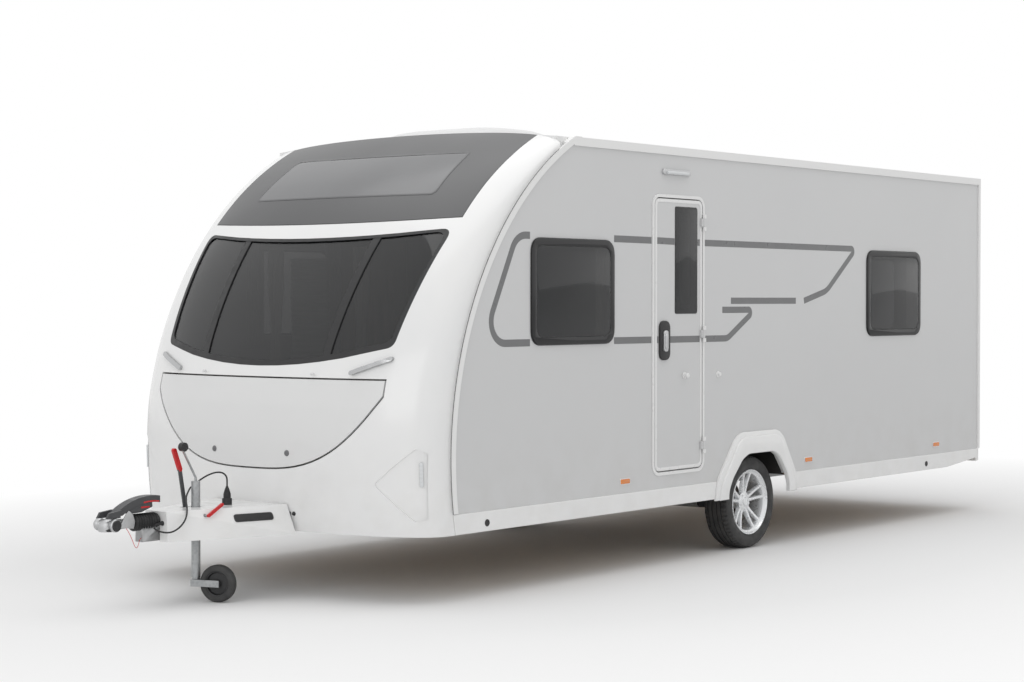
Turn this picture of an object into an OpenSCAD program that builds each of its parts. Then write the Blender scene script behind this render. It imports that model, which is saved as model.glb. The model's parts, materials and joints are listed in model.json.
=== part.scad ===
// Travel caravan, single axle, parked on its jockey wheel.
// +Y runs to the rear, +X to the side of the entrance door, +Z up. The origin is on the ground,
// under the middle of the overall length. Millimetres.

/* [Overall] */
// Overall length, from the nose of the coupling to the rear bumper
overall_l = 7740; // [7200:10:9400]
// Width over the side walls
body_w = 2250; // [1900:10:2700]
// Height of the top edge of the side walls
side_top_z = 2479; // [2350:1:2600]
// Height of the bottom edge of the side walls
side_low_z = 467; // [440:1:500]

/* [Shell] */
// Thickness of the sandwich walls
wall_t = 30; // [24:1:40]
// Thickness of the floor sandwich
floor_t = 45; // [35:1:60]
// Thickness of the roof sandwich
roof_t = 40; // [30:1:60]
// Rise of the roof between its edges
roof_rise = 55; // [20:1:90]
// Thickness of the moulded front
nose_t = 25; // [15:1:35]
// Lower edge of the skirts above the ground
skirt_low_z = 357; // [330:1:390]

/* [Openings] */
// Width of the entrance door, over its frame
door_w = 565; // [500:1:700]
// Height of the entrance door, over its frame
door_h = 1694; // [1600:1:1750]
// Clear gap round doors and lids
door_gap = 6; // [5:0.5:9]
// Width of the large side windows
lounge_window_w = 787; // [500:1:950]
// Width of the small side windows
rear_window_w = 799; // [500:1:900]
// Height of the side windows
window_h = 602; // [450:1:700]

/* [Wheels] */
// Outside diameter of a tyre
tyre_d = 596; // [540:2:700]
// Width of a tyre
tyre_w = 185; // [155:5:215]
// Outside diameter of the visible rim flange
rim_d = 420; // [380:2:450]
// Distance between the outer faces of the two tyres
track_over_tyres = 2150; // [1800:5:2600]

/* [Hitch] */
// Diameter of the tow ball that the coupling takes
ball_d = 50; // [50]
// Height of the centre of the tow ball
ball_z = 455; // [400:1:480]
// Diameter of the jockey wheel
jockey_wheel_d = 200; // [180:1:230]
// Outside diameter of the jockey tube
jockey_tube_d = 48; // [42:1:60]
// Caster trail of the jockey wheel
jockey_trail = 132; // [130:1:150]

/* [Hidden] */

$fn = 48;
fit = 0.3;              // seat between pieces that touch
run_clear = 0.05;       // radial clearance of a running pin
hw = body_w / 2;

// Places along the length
nose_to_wall = 1433;    // nose of the coupling to the foremost point of the side walls
bumper_d = 50;
rear_overhang = 3240;   // axle to the rear bumper
nose_y = -overall_l / 2;
front_y = nose_y + nose_to_wall;
rear_y = overall_l / 2 - bumper_d;
axle_y = overall_l / 2 - rear_overhang;
ball_y = nose_y + 60;
jockey_y = nose_y + 665;
wall_rear_y = rear_y - wall_t;

// The side of the nose is one arc, and the middle bulges out in front of it
front_r = 2000;
front_cy = front_y + front_r;
front_cz = 750;
// Angle above the arc's centre, and how far the middle stands out there
nose_bulge = [[-20, 376], [7, 376], [15, 345], [25, 290], [35, 240], [45, 190], [53, 145], [62, 100]];
shoulder = 0.7;         // lower is squarer at the corners
nose_low_a = -13;
nose_top_a = 62;
nose_rear_y = front_cy - 1040;

floor_top_z = side_low_z + 33;
floor_low_z = floor_top_z - floor_t;
roof_edge_z = side_top_z + 46;

// Doors and windows, placed from the axle or from each other
door_rear_y = axle_y - 640;
door_low_z = side_low_z + 79;
door_r = 70;
door_frame_w = 20;
frame_proud = 6;
door_leaf_t = 32;
window_r = 90;
window_low_z = 1349;
lounge_window_y = door_rear_y - door_w - 391 - lounge_window_w;
rear_window_y = rear_y - 974 - rear_window_w;
window_lap = 35;        // how far a pane overlaps the wall round its hole
frame_w = 45;
pane_t = 6;
door_pane = [244, 651];

// Wheels
wheel_z = tyre_d / 2;
tyre_x = track_over_tyres / 2 - tyre_w / 2;
arch_clear = 50;

// Hitch and jockey wheel
rail_w = 50;
rail_h = 95;
rail_z = floor_low_z - rail_h;
rail_x = 540;
drawbar_x = 55;         // centre of a drawbar rail at its front end
drawbar_front_y = nose_y + 400;
drawbar_rear_y = front_y + 664;
cover_top_z = 503;
cover_low_z = 345;
cover_t = 4;
clamp_pin = [nose_y + 591, 472];
clamp_pin_r = 6;
clamp_lever_x = 172;
jockey_r = jockey_tube_d / 2;
jockey_low_z = 128;
jockey_top_z = 640;
jockey_turn = 20;       // how far the wheel has swung round from the side

// Locker lid
lid_gap = 9;
lid_top_z = 1186;
lid_hinge_z = 1206;
lid_pin_r = 3;

// The free road lead, from its gland on the nose of the drawbar to its plug
lead_d = 9;
plug_at = [45, 850];
lead_top_z = 602;
lead_route = [
    [52, 399.7, 442], [52, 372, 442], [52, 348, 440], [57, 327, 435], [71, 311, 427], [92, 305, 418],
    [113, 311, 410], [127, 327, 405], [133, 349, 402], [136, 376, 404], [140, 404, 414],
    [144, 431, 432], [144, 456, 457], [134, 478, 484], [113, 500, 508], [84, 524, 528],
    [50, 552, 546], [14, 586, 564], [-14, 622, 582], [-36, 660, 602], [-38, 700, 624],
    [-26, 738, 648], [-10, 766, 665], [10, 792, 676], [27, 814, 678], [38, 833, 670],
    [43.5, 846, 654], [45, 850, 634], [45, 850, lead_top_z]
];
// The thin breakaway cable, from the overrun housing to its clip under the shaft
cable_d = 3;
cable_route = [
    [20, 269.7, 372], [20, 263, 371], [24, 252, 362], [32, 238, 344], [40, 224, 332],
    [46, 211, 330], [49, 200, 338], [49, 192, 352], [47, 185, 370], [43, 178, 390],
    [38, 170, 410], [33, 162, 426], [29, 154, 437], [27, 146, 442], [27, 140.3, 442]
];

// ---------- helpers ----------

// An outline in Y and Z, drawn out along X from x
module across(x, t) translate([x, 0, 0]) rotate([90, 0, 90]) linear_extrude(t) children();

// An outline in X and Z, drawn out forwards from y
module forwards(y, t) translate([0, y, 0]) rotate([90, 0, 0]) linear_extrude(t) children();

// A rectangle with round corners, from its low corner
module round_rect(size, r) {
    translate([r, 0]) square([size[0] - 2 * r, size[1]]);
    translate([0, r]) square([size[0], size[1] - 2 * r]);
    for (x = [r, size[0] - r], y = [r, size[1] - r]) translate([x, y]) circle(r);
}

// A bar with round ends between two points
module link(a, b, r) {
    d = b - a;
    turn = atan2(d[1], d[0]);
    for (p = [a, b]) translate(p) circle(r);
    translate(a) rotate(turn) translate([0, -0.99 * r]) square([norm(d), 1.98 * r]);
}

module both_sides() {
    children();
    mirror([1, 0, 0]) children();
}

// A cylinder along X, from x
module rod_x(x, y, z, r, l) translate([x, y, z]) rotate([0, 90, 0]) cylinder(r = r, h = l);

// A cylinder along Y, from y
module rod_y(x, y, z, r, l) translate([x, y, z]) rotate([-90, 0, 0]) cylinder(r = r, h = l);

function unit(v) = v / norm(v);

// A round tube of one radius along a list of points
module swept_tube(route, d, sides) {
    n = len(route);
    last = n - 1;
    rings = [for (i = [0 : last])
        let (t = unit(route[min(i + 1, last)] - route[max(i - 1, 0)]),
             u = unit(cross(t, [0.31, 0.17, 0.93])),
             v = cross(t, u))
        for (k = [0 : sides - 1])
            route[i] + d / 2 * (cos(360 * k / sides) * u + sin(360 * k / sides) * v)];
    walls = [for (i = [0 : last - 1], k = [0 : sides - 1])
        let (a = i * sides + k, b = i * sides + (k + 1) % sides)
        for (f = [[a, b, b + sides], [a, b + sides, a + sides]]) f];
    ends = [[for (k = [0 : sides - 1]) sides - 1 - k], [for (k = [0 : sides - 1]) last * sides + k]];
    polyhedron(rings, concat(walls, ends));
}

// ---------- the curved front ----------

function bulge(a) = lookup(a, nose_bulge);

// A point of the nose: phi runs from side to side, a up the arc, depth is under the skin
function nose_point(phi, a, depth, span = hw) =
    let (r = front_r + (bulge(a) - depth) * pow(abs(cos(phi)), shoulder))
    [span * sin(phi), front_cy - r * cos(a), front_cz + r * sin(a)];

// A sheet of the nose between two depths, from one side to the other
module nose_sheet(a0, a1, depth0, depth1, half_w = hw, rows = 16, cols = 26) {
    side = half_w >= hw ? 90 : asin(half_w / hw);
    per = (rows + 1) * (cols + 1);
    inner_span = half_w >= hw ? hw - depth1 : hw;
    grid = [for (skin = [[depth0, hw], [depth1, inner_span]], j = [0 : rows], i = [0 : cols])
        nose_point(side * (2 * i / cols - 1), a0 + (a1 - a0) * j / rows, skin[0], skin[1])];
    function at(s, j, i) = s * per + j * (cols + 1) + i;
    skins = [for (j = [0 : rows - 1], i = [0 : cols - 1]) for (f = [
        [at(0, j, i), at(0, j + 1, i), at(0, j + 1, i + 1)],
        [at(0, j, i), at(0, j + 1, i + 1), at(0, j, i + 1)],
        [at(1, j, i), at(1, j + 1, i + 1), at(1, j + 1, i)],
        [at(1, j, i), at(1, j, i + 1), at(1, j + 1, i + 1)]]) f];
    rims = concat(
        [for (i = [0 : cols - 1]) for (f = [
            [at(0, 0, i), at(0, 0, i + 1), at(1, 0, i + 1)], [at(0, 0, i), at(1, 0, i + 1), at(1, 0, i)],
            [at(0, rows, i + 1), at(0, rows, i), at(1, rows, i)],
            [at(0, rows, i + 1), at(1, rows, i), at(1, rows, i + 1)]]) f],
        [for (j = [0 : rows - 1]) for (f = [
            [at(0, j, 0), at(1, j, 0), at(1, j + 1, 0)], [at(0, j, 0), at(1, j + 1, 0), at(0, j + 1, 0)],
            [at(0, j, cols), at(0, j + 1, cols), at(1, j + 1, cols)],
            [at(0, j, cols), at(1, j + 1, cols), at(1, j, cols)]]) f]);
    polyhedron(grid, concat(skins, rims));
}

// Outlines on the front, in X and Z
front_glass_top = 1945;
front_glass_low = 1247;
front_glass_w = 945;
front_glass_low_w = 868;
glass_steps = 10;
glass_bar = 50;         // dark bar between two front panes
glass_split = 0.535;    // where the bars stand, as a share of the half width
pane_gap = 0.6;
front_panes = [[-1, -glass_split], [-glass_split, glass_split], [glass_split, 1]];

function glass_top(x) = front_glass_top + 45 * pow(x / front_glass_w, 2);
function glass_low(x) = front_glass_low + 110 * pow(x / front_glass_low_w, 2);

// One front pane between two places across, each from -1 to 1, with its sides and rims drawn in
module front_pane_outline(u0, u1, side0, side1, rim) {
    us = [for (i = [0 : glass_steps]) u0 + (u1 - u0) * i / glass_steps];
    edge = [for (i = [0 : glass_steps]) i == 0 ? side0 : i == glass_steps ? -side1 : 0];
    polygon(concat(
        [for (i = [0 : glass_steps])
            let (x = us[i] * front_glass_w + edge[i]) [x, glass_top(x) - rim]],
        [for (i = [glass_steps : -1 : 0])
            let (x = us[i] * front_glass_low_w + edge[i]) [x, glass_low(x) + rim]]));
}

// The two dark bars between the front panes
module front_bar_outline(side) polygon([
    for (p = [[1, -1], [1, 1], [0, 1], [0, -1]])
        let (w = p[0] == 1 ? front_glass_w : front_glass_low_w,
             x = side * glass_split * w + p[1] * (glass_bar / 2 - fit))
        [x, p[0] == 1 ? glass_top(x) - 2 * pane_gap : glass_low(x) + 2 * pane_gap]]);

// The gas locker lid: straight across the top, a deep curve below
lid_top_w = 872;
lid_low_z = 684;
lid_steps = 14;
module lid_outline(inset) {
    polygon(concat(
        [[lid_top_w - inset, lid_top_z - inset], [-lid_top_w + inset, lid_top_z - inset]],
        [for (i = [0 : 2 * lid_steps])
            let (u = i / lid_steps - 1, w = lid_top_w - inset)
            [w * sin(90 * u), lid_low_z + inset + (1090 - lid_low_z) * pow(abs(sin(90 * u)), 3.2)]]));
}

notch_w = 293;          // the drawbar passes through here
lid_knuckles = [-420, 420];
lid_hinge_proud = 15;
lid_hinge_a = asin((lid_hinge_z - front_cz) / (front_r + 0.94 * bulge(12)));
lid_hinge = [
    nose_point(asin((lid_knuckles[1] - 30) / hw), lid_hinge_a, 0)[1] - lid_hinge_proud,
    lid_hinge_z];
knuckle_r = 7;
knuckle_w = 20;
module front_moulding() color("white") {
    front_skin();
    for (x = lid_knuckles) {
        for (s = [-1.5 * knuckle_w - fit, knuckle_w / 2 + fit]) translate([x + s, lid_hinge[0], lid_hinge[1]]) {
            rod_x(0, 0, 0, knuckle_r, knuckle_w);
            translate([0, 0, -2]) cube([knuckle_w, 30, 9]);
        }
        rod_x(x - knuckle_w, lid_hinge[0], lid_hinge[1], lid_pin_r, 2 * knuckle_w);
    }
}

// The half of a hinge that moves with the locker lid
module lid_knuckle(x) translate([x - knuckle_w / 2, lid_hinge[0], lid_hinge[1]]) difference() {
    union() {
        rod_x(0, 0, 0, knuckle_r, knuckle_w);
        translate([0, -knuckle_r, -34]) cube([knuckle_w, 6, 34]);
        translate([0, -knuckle_r, -40]) cube([knuckle_w, knuckle_r + 14, 17]);
    }
    rod_x(-1, 0, 0, lid_pin_r + run_clear, knuckle_w + 2);
}

module front_skin() difference() {
    nose_sheet(nose_low_a, nose_top_a, 0, nose_t);
    translate([-hw - 10, front_y - 800, 0]) cube([body_w + 20, 1500, skirt_low_z]);
    translate([-hw - 10, nose_rear_y, front_cz]) cube([body_w + 20, 600, 2200]);
    translate([-notch_w, front_y - 800, 0]) cube([2 * notch_w, 1200, rail_z + rail_h + 7]);
    forwards(front_cy - 1450, 1400) {
        for (s = front_panes) front_pane_outline(s[0], s[1], 0, 0, 0);
        lid_outline(0);
    }
    nose_sheet(36.4, nose_top_a + 3, -30, nose_t + 30, half_w = 962, rows = 8, cols = 16);
}

module front_window_panes() color("dimgray") for (s = front_panes) intersection() {
    nose_sheet(9, 38, 10, 16, half_w = 1000, rows = 6, cols = 12);
    forwards(front_cy - 1450, 1400) front_pane_outline(s[0], s[1],
        s[0] == -1 ? pane_gap : glass_bar / 2, s[1] == 1 ? pane_gap : glass_bar / 2, pane_gap);
}

module roof_window() color("dimgray") difference() {
    nose_sheet(36.7, nose_top_a, 2, 20, half_w = 961, rows = 8, cols = 16);
    translate([-hw, nose_rear_y - fit, front_cz]) cube([body_w, 600, 2200]);
}

module locker_door() {
    color("gainsboro") {
        intersection() {
            nose_sheet(-4, 13, 0, 6, half_w = 1000, rows = 5, cols = 14);
            forwards(front_cy - 1450, 1400) lid_outline(lid_gap);
        }
        intersection() {
            nose_sheet(-4, 13, 6, nose_t, half_w = 1000, rows = 5, cols = 14);
            forwards(front_cy - 1450, 1400) lid_outline(lid_gap + 30);
        }
        for (x = lid_knuckles) lid_knuckle(x);
    }
}

module locker_bulkhead() color("whitesmoke") {
    wall_y = front_y + 60;
    translate([-hw + wall_t + 40, wall_y, floor_top_z]) cube([body_w - 2 * wall_t - 80, 15, 1215 - floor_top_z]);
    translate([-640, wall_y - 265, floor_low_z]) cube([1280, 265, floor_t - 20]);
    translate([-800, wall_y - 235, 1215]) cube([1600, 250, 12]);
}

handle_ends = [[668, 1217], [880, 1292]];
module grab_handles() color("silver") both_sides() {
    intersection() {
        nose_sheet(7, 17, -26, -8, half_w = 1000, rows = 3, cols = 16);
        forwards(front_cy - 1450, 1400) link(handle_ends[0], handle_ends[1], 12);
    }
    difference() {
        intersection() {
            nose_sheet(7, 17, -10, 6, half_w = 1000, rows = 3, cols = 16);
            forwards(front_cy - 1450, 1400) for (p = handle_ends) translate(p) circle(11);
        }
        nose_sheet(nose_low_a, nose_top_a, -fit, nose_t);
    }
}

// ---------- running gear and frame ----------

module chassis_rails() color("silver") both_sides()
    translate([rail_x - rail_w / 2, drawbar_rear_y, rail_z]) cube([rail_w, rear_y - 260 - drawbar_rear_y, rail_h]);

module drawbar_rails() color("silver") both_sides() {
    run = drawbar_rear_y - fit - drawbar_front_y;
    translate([0, 0, rail_z]) linear_extrude(rail_h) polygon([
        [drawbar_x - rail_w / 2, drawbar_front_y], [drawbar_x + rail_w / 2, drawbar_front_y],
        [rail_x + rail_w / 2, drawbar_front_y + run], [rail_x - rail_w / 2, drawbar_front_y + run]]);
}

cross_y = [drawbar_rear_y + 60, axle_y - 900, axle_y + 700, rear_y - 400];
cross_section = [40, 45];
module cross_members() color("silver") {
    inner = rail_x - rail_w / 2 - fit;
    for (y = cross_y) translate([-inner, y, rail_z + 30]) cube([2 * inner, cross_section[0], cross_section[1]]);
    for (x = [-steady_x, steady_x], y = [front_steady_y, rear_steady_y]) steady_bracket(x, y);
}

axle_back = 150;        // axle tube ahead of the wheel centre
axle_tube_z = min(wheel_z + 8, rail_z - 50 - fit);
arm_x = tyre_x - tyre_w / 2 - 110;
arm_t = 30;
arm_r = 48;
back_plate_t = 8;
axle_tube_r = 50;
axle_plate = [8, 220, 110];  // thickness, length, and how far it reaches ahead of the tube
drum_r = 115;

module axle_beam() color("silver") {
    rod_x(-arm_x + fit, axle_y - axle_back, axle_tube_z, axle_tube_r, 2 * (arm_x - fit));
    both_sides() difference() {
        translate([
            rail_x - rail_w / 2 - axle_plate[0] - fit, axle_y - axle_back - axle_plate[2], axle_tube_z - 30])
            cube([axle_plate[0], axle_plate[1], rail_z + rail_h - 8 - axle_tube_z + 30]);
        rod_x(rail_x - rail_w, axle_y - axle_back, axle_tube_z, axle_tube_r - 1, rail_w);
    }
}

module swing_arms() color("dimgray") both_sides() {
    across(arm_x, arm_t) link([axle_y - axle_back, axle_tube_z], [axle_y, wheel_z], arm_r);
    rod_x(arm_x + arm_t, axle_y, wheel_z, drum_r, back_plate_t);
    rod_x(arm_x + arm_t + back_plate_t, axle_y, wheel_z, stub_r, stub_l);
}

// ---------- shell ----------

box_t = 12;             // wall of a wheel box
box_in = 40;            // wheel box inboard of the arm
floor_front_y = front_y + 62;
module floor_panel() color("tan") {
    inner = hw - wall_t - fit;
    difference() {
        translate([-inner, floor_front_y, floor_low_z])
            cube([2 * inner, wall_rear_y - floor_front_y - fit, floor_t]);
        both_sides() translate([arm_x - box_in, axle_y - arch_half - box_t, floor_low_z - 10])
            cube([hw - arm_x + box_in, 2 * (arch_half + box_t), floor_t + 20]);
    }
}

arch_half = tyre_d / 2 + arch_clear;
arch_top_z = tyre_d + arch_clear;
module wheel_boxes() color("dimgray") both_sides() {
    x0 = arm_x - box_in + fit;
    x1 = hw - wall_t - fit;
    difference() {
        translate([x0, axle_y - arch_half - box_t + fit, floor_low_z])
            cube([x1 - x0, 2 * (arch_half + box_t - fit), arch_top_z + box_t - floor_low_z]);
        translate([x0 + box_t, axle_y - arch_half, floor_low_z - 10])
            cube([x1 - x0, 2 * arch_half, arch_top_z - floor_low_z + 10]);
    }
}

module side_outline(low, high) intersection() {
    union() {
        translate([front_cy, front_cz]) circle(front_r - 2, $fn = 180);
        translate([front_cy, 0]) square([wall_rear_y - front_cy - fit, 3000]);
    }
    translate([front_y - 100, low]) square([overall_l, high - low]);
}

// One side of the wheel opening and of the spat round it, as distances from the axle and heights
opening_foot_z = 100;
opening_front = [[385, opening_foot_z], [385, 400], [335, 480], [225, 590], [150, 622]];
opening_rear = [[350, opening_foot_z], [350, 400], [315, 480], [222, 590], [150, 622]];
spat_front = [[520, skirt_low_z - 10], [492, 477], [300, 715], [225, 761]];
spat_rear = [[462, skirt_low_z - 10], [444, 477], [290, 715], [215, 761]];

// Joins a front side and a rear side into one outline, a little larger all round
module wheel_outline(front, rear, grow) {
    n = len(front) - 1;
    polygon(concat(
        [for (p = front) [axle_y - p[0] - (p == front[n] ? 0 : grow), p[1] + (p == front[n] ? grow : 0)]],
        [for (i = [n : -1 : 0]) let (p = rear[i])
            [axle_y + p[0] + (i == n ? 0 : grow), p[1] + (i == n ? grow : 0)]]));
}
module arch_outline(grow) wheel_outline(opening_front, opening_rear, grow);
module spat_outline(grow) wheel_outline(spat_front, spat_rear, grow);

module window_outline(y, w, h, inset) translate([y + inset, window_low_z + inset])
    round_rect([w - 2 * inset, h - 2 * inset], window_r - inset);

module left_windows(inset) {
    window_outline(lounge_window_y, lounge_window_w, window_h, inset);
    window_outline(rear_window_y, rear_window_w, window_h, inset);
}

offside_mid_y = axle_y - 900;
module right_windows(inset) {
    window_outline(lounge_window_y, lounge_window_w, window_h, inset);
    window_outline(offside_mid_y, rear_window_w, window_h, inset);
    window_outline(rear_window_y, rear_window_w, window_h, inset);
}

module door_outline(inset) translate([door_rear_y - door_w + inset, door_low_z + inset])
    round_rect([door_w - 2 * inset, door_h - 2 * inset], door_r - inset);

hatch = [380, 360];
hatch_at = [rear_y - 620, 560];
module hatch_outline(inset) translate([hatch_at[0] + inset, hatch_at[1] + inset])
    round_rect([hatch[0] - 2 * inset, hatch[1] - 2 * inset], 30);

module side_wall_left() color("lightgray") across(hw - wall_t, wall_t) difference() {
    side_outline(side_low_z, side_top_z);
    door_outline(0);
    left_windows(window_lap);
    arch_outline(20);
}

module side_wall_right() color("lightgray") {
    across(-hw, wall_t) difference() {
        side_outline(side_low_z, side_top_z);
        right_windows(window_lap);
        hatch_outline(0);
        arch_outline(20);
    }
    for (z = hatch_knuckles, s = [-hatch_knuckle_h / 2 - 14, hatch_knuckle_h / 2 + 1])
        translate([hatch_axis[0], hatch_axis[1], z + s]) {
            cylinder(r = hatch_knuckle_r, h = 13);
            translate([0, -24, 0]) cube([14, 24, 13]);
        }
    for (z = hatch_knuckles) translate([hatch_axis[0], hatch_axis[1], z - 30])
        cylinder(r = hatch_pin_r, h = 60);
}

roof_r = (hw * hw + roof_rise * roof_rise) / (2 * roof_rise);
roof_beam_w = 60;       // solid edge of the roof panel

// The cross-section of the roof, filled down to a height, and lowered by some depth
module roof_outline(half_w, low, depth) intersection() {
    translate([0, roof_edge_z + roof_rise - roof_r - depth]) circle(roof_r, $fn = 240);
    translate([-half_w, low]) square([2 * half_w, roof_edge_z + roof_rise - low]);
}

module roof_panel() color("white") forwards(wall_rear_y - fit, wall_rear_y - nose_rear_y - 2 * fit)
    difference() {
        roof_outline(hw - wall_t, side_top_z + fit, 0);
        roof_outline(hw - wall_t - roof_beam_w, side_top_z - 10, roof_t);
    }

rear_glass_w = 900;
module rear_window_outline(inset) translate([-rear_glass_w / 2 + inset, window_low_z + inset])
    round_rect([rear_glass_w - 2 * inset, window_h - 2 * inset], window_r - inset);

module rear_panel() color("white") forwards(rear_y, wall_t) difference() {
    union() {
        translate([-hw, side_low_z]) square([body_w, side_top_z - side_low_z]);
        roof_outline(hw, side_top_z - 1, 0);
    }
    rear_window_outline(window_lap);
}

module rear_window() {
    color("dimgray") forwards(rear_y + frame_proud + pane_t, pane_t) rear_window_outline(0);
    color("black") forwards(rear_y + frame_proud - fit, frame_proud - 2 * fit) difference() {
        rear_window_outline(2);
        rear_window_outline(frame_w);
    }
}

crown_z = roof_edge_z + roof_rise + fit;    // what stands on the middle of the roof starts here
pod_y = front_y + 1110;
pod_flange = [840, 750, 22];
pod_lip = [30, 20];     // flange that shows beside the pod, and at its ends
pod_rise = 55;
pod_corner = 120;
module roof_pod() color("white") {
    top = [pod_flange[0] - 2 * pod_lip[0], pod_flange[1] - 2 * pod_lip[1]];
    translate([-pod_flange[0] / 2, pod_y, crown_z]) cube(pod_flange);
    translate([-top[0] / 2, pod_y + pod_lip[1], crown_z + pod_flange[2]])
        linear_extrude(pod_rise) round_rect(top, pod_corner);
}

rooflight = [420, 420, 45];
rooflight_y = [axle_y + 300, rear_y - 1100];
rooflight_corner = 50;
module rooflights() color("whitesmoke") for (y = rooflight_y)
    translate([-rooflight[0] / 2, y, crown_z]) linear_extrude(rooflight[2])
        round_rect([rooflight[0], rooflight[1]], rooflight_corner);

trim_t = 10;            // rail standing off the wall
trim_lap = [2, 34];     // rail outside and inside the edge of the nose
trim_foot = 4;
corner_w = 28;
rail_top = side_top_z + 49;
roof_rail_y = nose_rear_y + 60;
rail_join_y = front_cy - sqrt(pow(front_r + trim_lap[0], 2) - pow(rail_top - front_cz, 2));
module awning_rails() color("white") both_sides() {
    across(hw + fit, trim_t) {
        intersection() {
            difference() {
                translate([front_cy, front_cz]) circle(front_r + trim_lap[0], $fn = 180);
                translate([front_cy, front_cz]) circle(front_r - trim_lap[1], $fn = 180);
            }
            translate([front_y - 50, side_low_z + trim_foot]) square([front_r - 800, rail_top - side_low_z]);
        }
        translate([rail_join_y, side_top_z]) square([rear_y - rail_join_y, rail_top - side_top_z]);
        translate([rear_y - corner_w, side_low_z + trim_foot])
            square([corner_w, rail_top - side_low_z - trim_foot]);
    }
    across(hw - wall_t + fit, wall_t) intersection() {
        union() {
            translate([front_cy, front_cz]) circle(front_r + trim_lap[0], $fn = 180);
            translate([rail_join_y, side_top_z]) square([rear_y - rail_join_y, rail_top - side_top_z]);
        }
        translate([roof_rail_y, side_top_z + fit])
            square([wall_rear_y - roof_rail_y - fit, rail_top - side_top_z - fit]);
    }
}

skirt_t = 27;
skirt_proud = 5;
skirt_rise = [axle_y + 2600, 51];   // where the skirt's foot starts to rise to the rear, and by how much
module side_skirts() color("white") both_sides() across(hw + skirt_proud - skirt_t, skirt_t) difference() {
    side_outline(skirt_low_z, side_low_z - fit);
    spat_outline(fit);
    polygon([[skirt_rise[0], skirt_low_z - skirt_proud], [rear_y + bumper_d, skirt_low_z - skirt_proud],
        [rear_y + bumper_d, skirt_low_z + skirt_rise[1]]]);
}

spat_t = 30;
module wheel_spats() color("white") both_sides() across(hw + fit, spat_t) difference() {
    spat_outline(0);
    arch_outline(0);
}

module window_frames() color("black") {
    across(hw + fit, frame_proud - 2 * fit) difference() {
        left_windows(2);
        left_windows(frame_w);
    }
    across(-hw - frame_proud + fit, frame_proud - 2 * fit) difference() {
        right_windows(2);
        right_windows(frame_w);
    }
    for (s = [-1, 1]) intersection() {
        nose_sheet(9, 38, 6, nose_t, half_w = 1000, rows = 6, cols = 12);
        forwards(front_cy - 1450, 1400) front_bar_outline(s);
    }
}

module side_windows() color("dimgray") {
    across(hw + frame_proud, pane_t) left_windows(0);
    across(-hw - frame_proud - pane_t, pane_t) right_windows(0);
}

bumper_inset = 20;
bumper_low_z = skirt_low_z + 10;
bumper_h = 200;
module rear_bumper() color("white") translate([-hw + bumper_inset, rear_y + fit, bumper_low_z])
    cube([body_w - 2 * bumper_inset, bumper_d - fit, bumper_h]);

side_marker = [8, 100, 36];
side_marker_y = [axle_y - 1484, axle_y + 630, axle_y + 2478];
tail_lamp = [200, 30, 330];
tail_lamp_in = 60;      // lamp's outer edge in from the wall
top_marker = [100, 25, 35];
brake_lamp = [400, 20, 35];
top_lamp_z = side_top_z - 60;
awning_light = [28, 290, 34];
awning_light_at = [door_rear_y - 460, 2358];
module lamps() {
    color("orange") both_sides() for (y = side_marker_y)
        translate([hw + fit, y - side_marker[1] / 2, side_low_z + 52]) cube(side_marker);
    color("red") both_sides() {
        translate([hw - tail_lamp_in - tail_lamp[0], rear_y + fit, skirt_low_z + 230]) cube(tail_lamp);
        translate([hw - tail_lamp_in - top_marker[0], rear_y + fit, top_lamp_z]) cube(top_marker);
    }
    color("red") translate([-brake_lamp[0] / 2, rear_y + fit, top_lamp_z]) cube(brake_lamp);
    color("white") translate([hw + fit, awning_light_at[0], awning_light_at[1]]) cube(awning_light);
}

// ---------- the entrance door ----------

door_axis = [hw + frame_proud + 12, door_rear_y - door_frame_w - door_gap];
hinge_z = [door_low_z + 160, door_low_z + door_h / 2, door_low_z + door_h - 160];
hinge_r = 8;
hinge_pin_r = 3;
hinge_h = 25;           // half the knuckle on the door
hinge_end = 24;         // each knuckle on the frame

module door_frame() color("white") {
    across(hw - wall_t + fit, wall_t + frame_proud - fit) difference() {
        door_outline(fit);
        door_outline(door_frame_w);
    }
    for (z = hinge_z) translate([door_axis[0], door_axis[1], z]) {
        for (low = [-hinge_h - 1 - hinge_end, hinge_h + 1]) translate([0, 0, low]) {
            cylinder(r = hinge_r, h = hinge_end);
            translate([-12, 0, 0]) cube([12, 26, hinge_end]);
        }
        translate([0, 0, -hinge_h - 5]) cylinder(r = hinge_pin_r, h = 2 * hinge_h + 10);
    }
}

module entrance_door() color("lightgray") {
    across(hw + frame_proud - 3 - door_leaf_t, door_leaf_t) difference() {
        door_outline(door_frame_w + door_gap);
        door_pane_outline(-fit);
    }
    for (z = hinge_z) translate([door_axis[0], door_axis[1], z]) difference() {
        translate([0, 0, -hinge_h]) {
            cylinder(r = hinge_r, h = 2 * hinge_h);
            translate([-15, -22, 0]) cube([15, 22, 2 * hinge_h]);
        }
        translate([0, 0, -hinge_h - 1]) cylinder(r = hinge_pin_r + run_clear, h = 2 * hinge_h + 2);
    }
}

module door_pane_outline(inset) translate([door_rear_y - 326 + inset, 1519 + inset])
    round_rect([door_pane[0] - 2 * inset, door_pane[1] - 2 * inset], 14);

module door_window() color("dimgray")
    across(hw + frame_proud - door_leaf_t + 5, door_leaf_t - 4) door_pane_outline(0);

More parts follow.
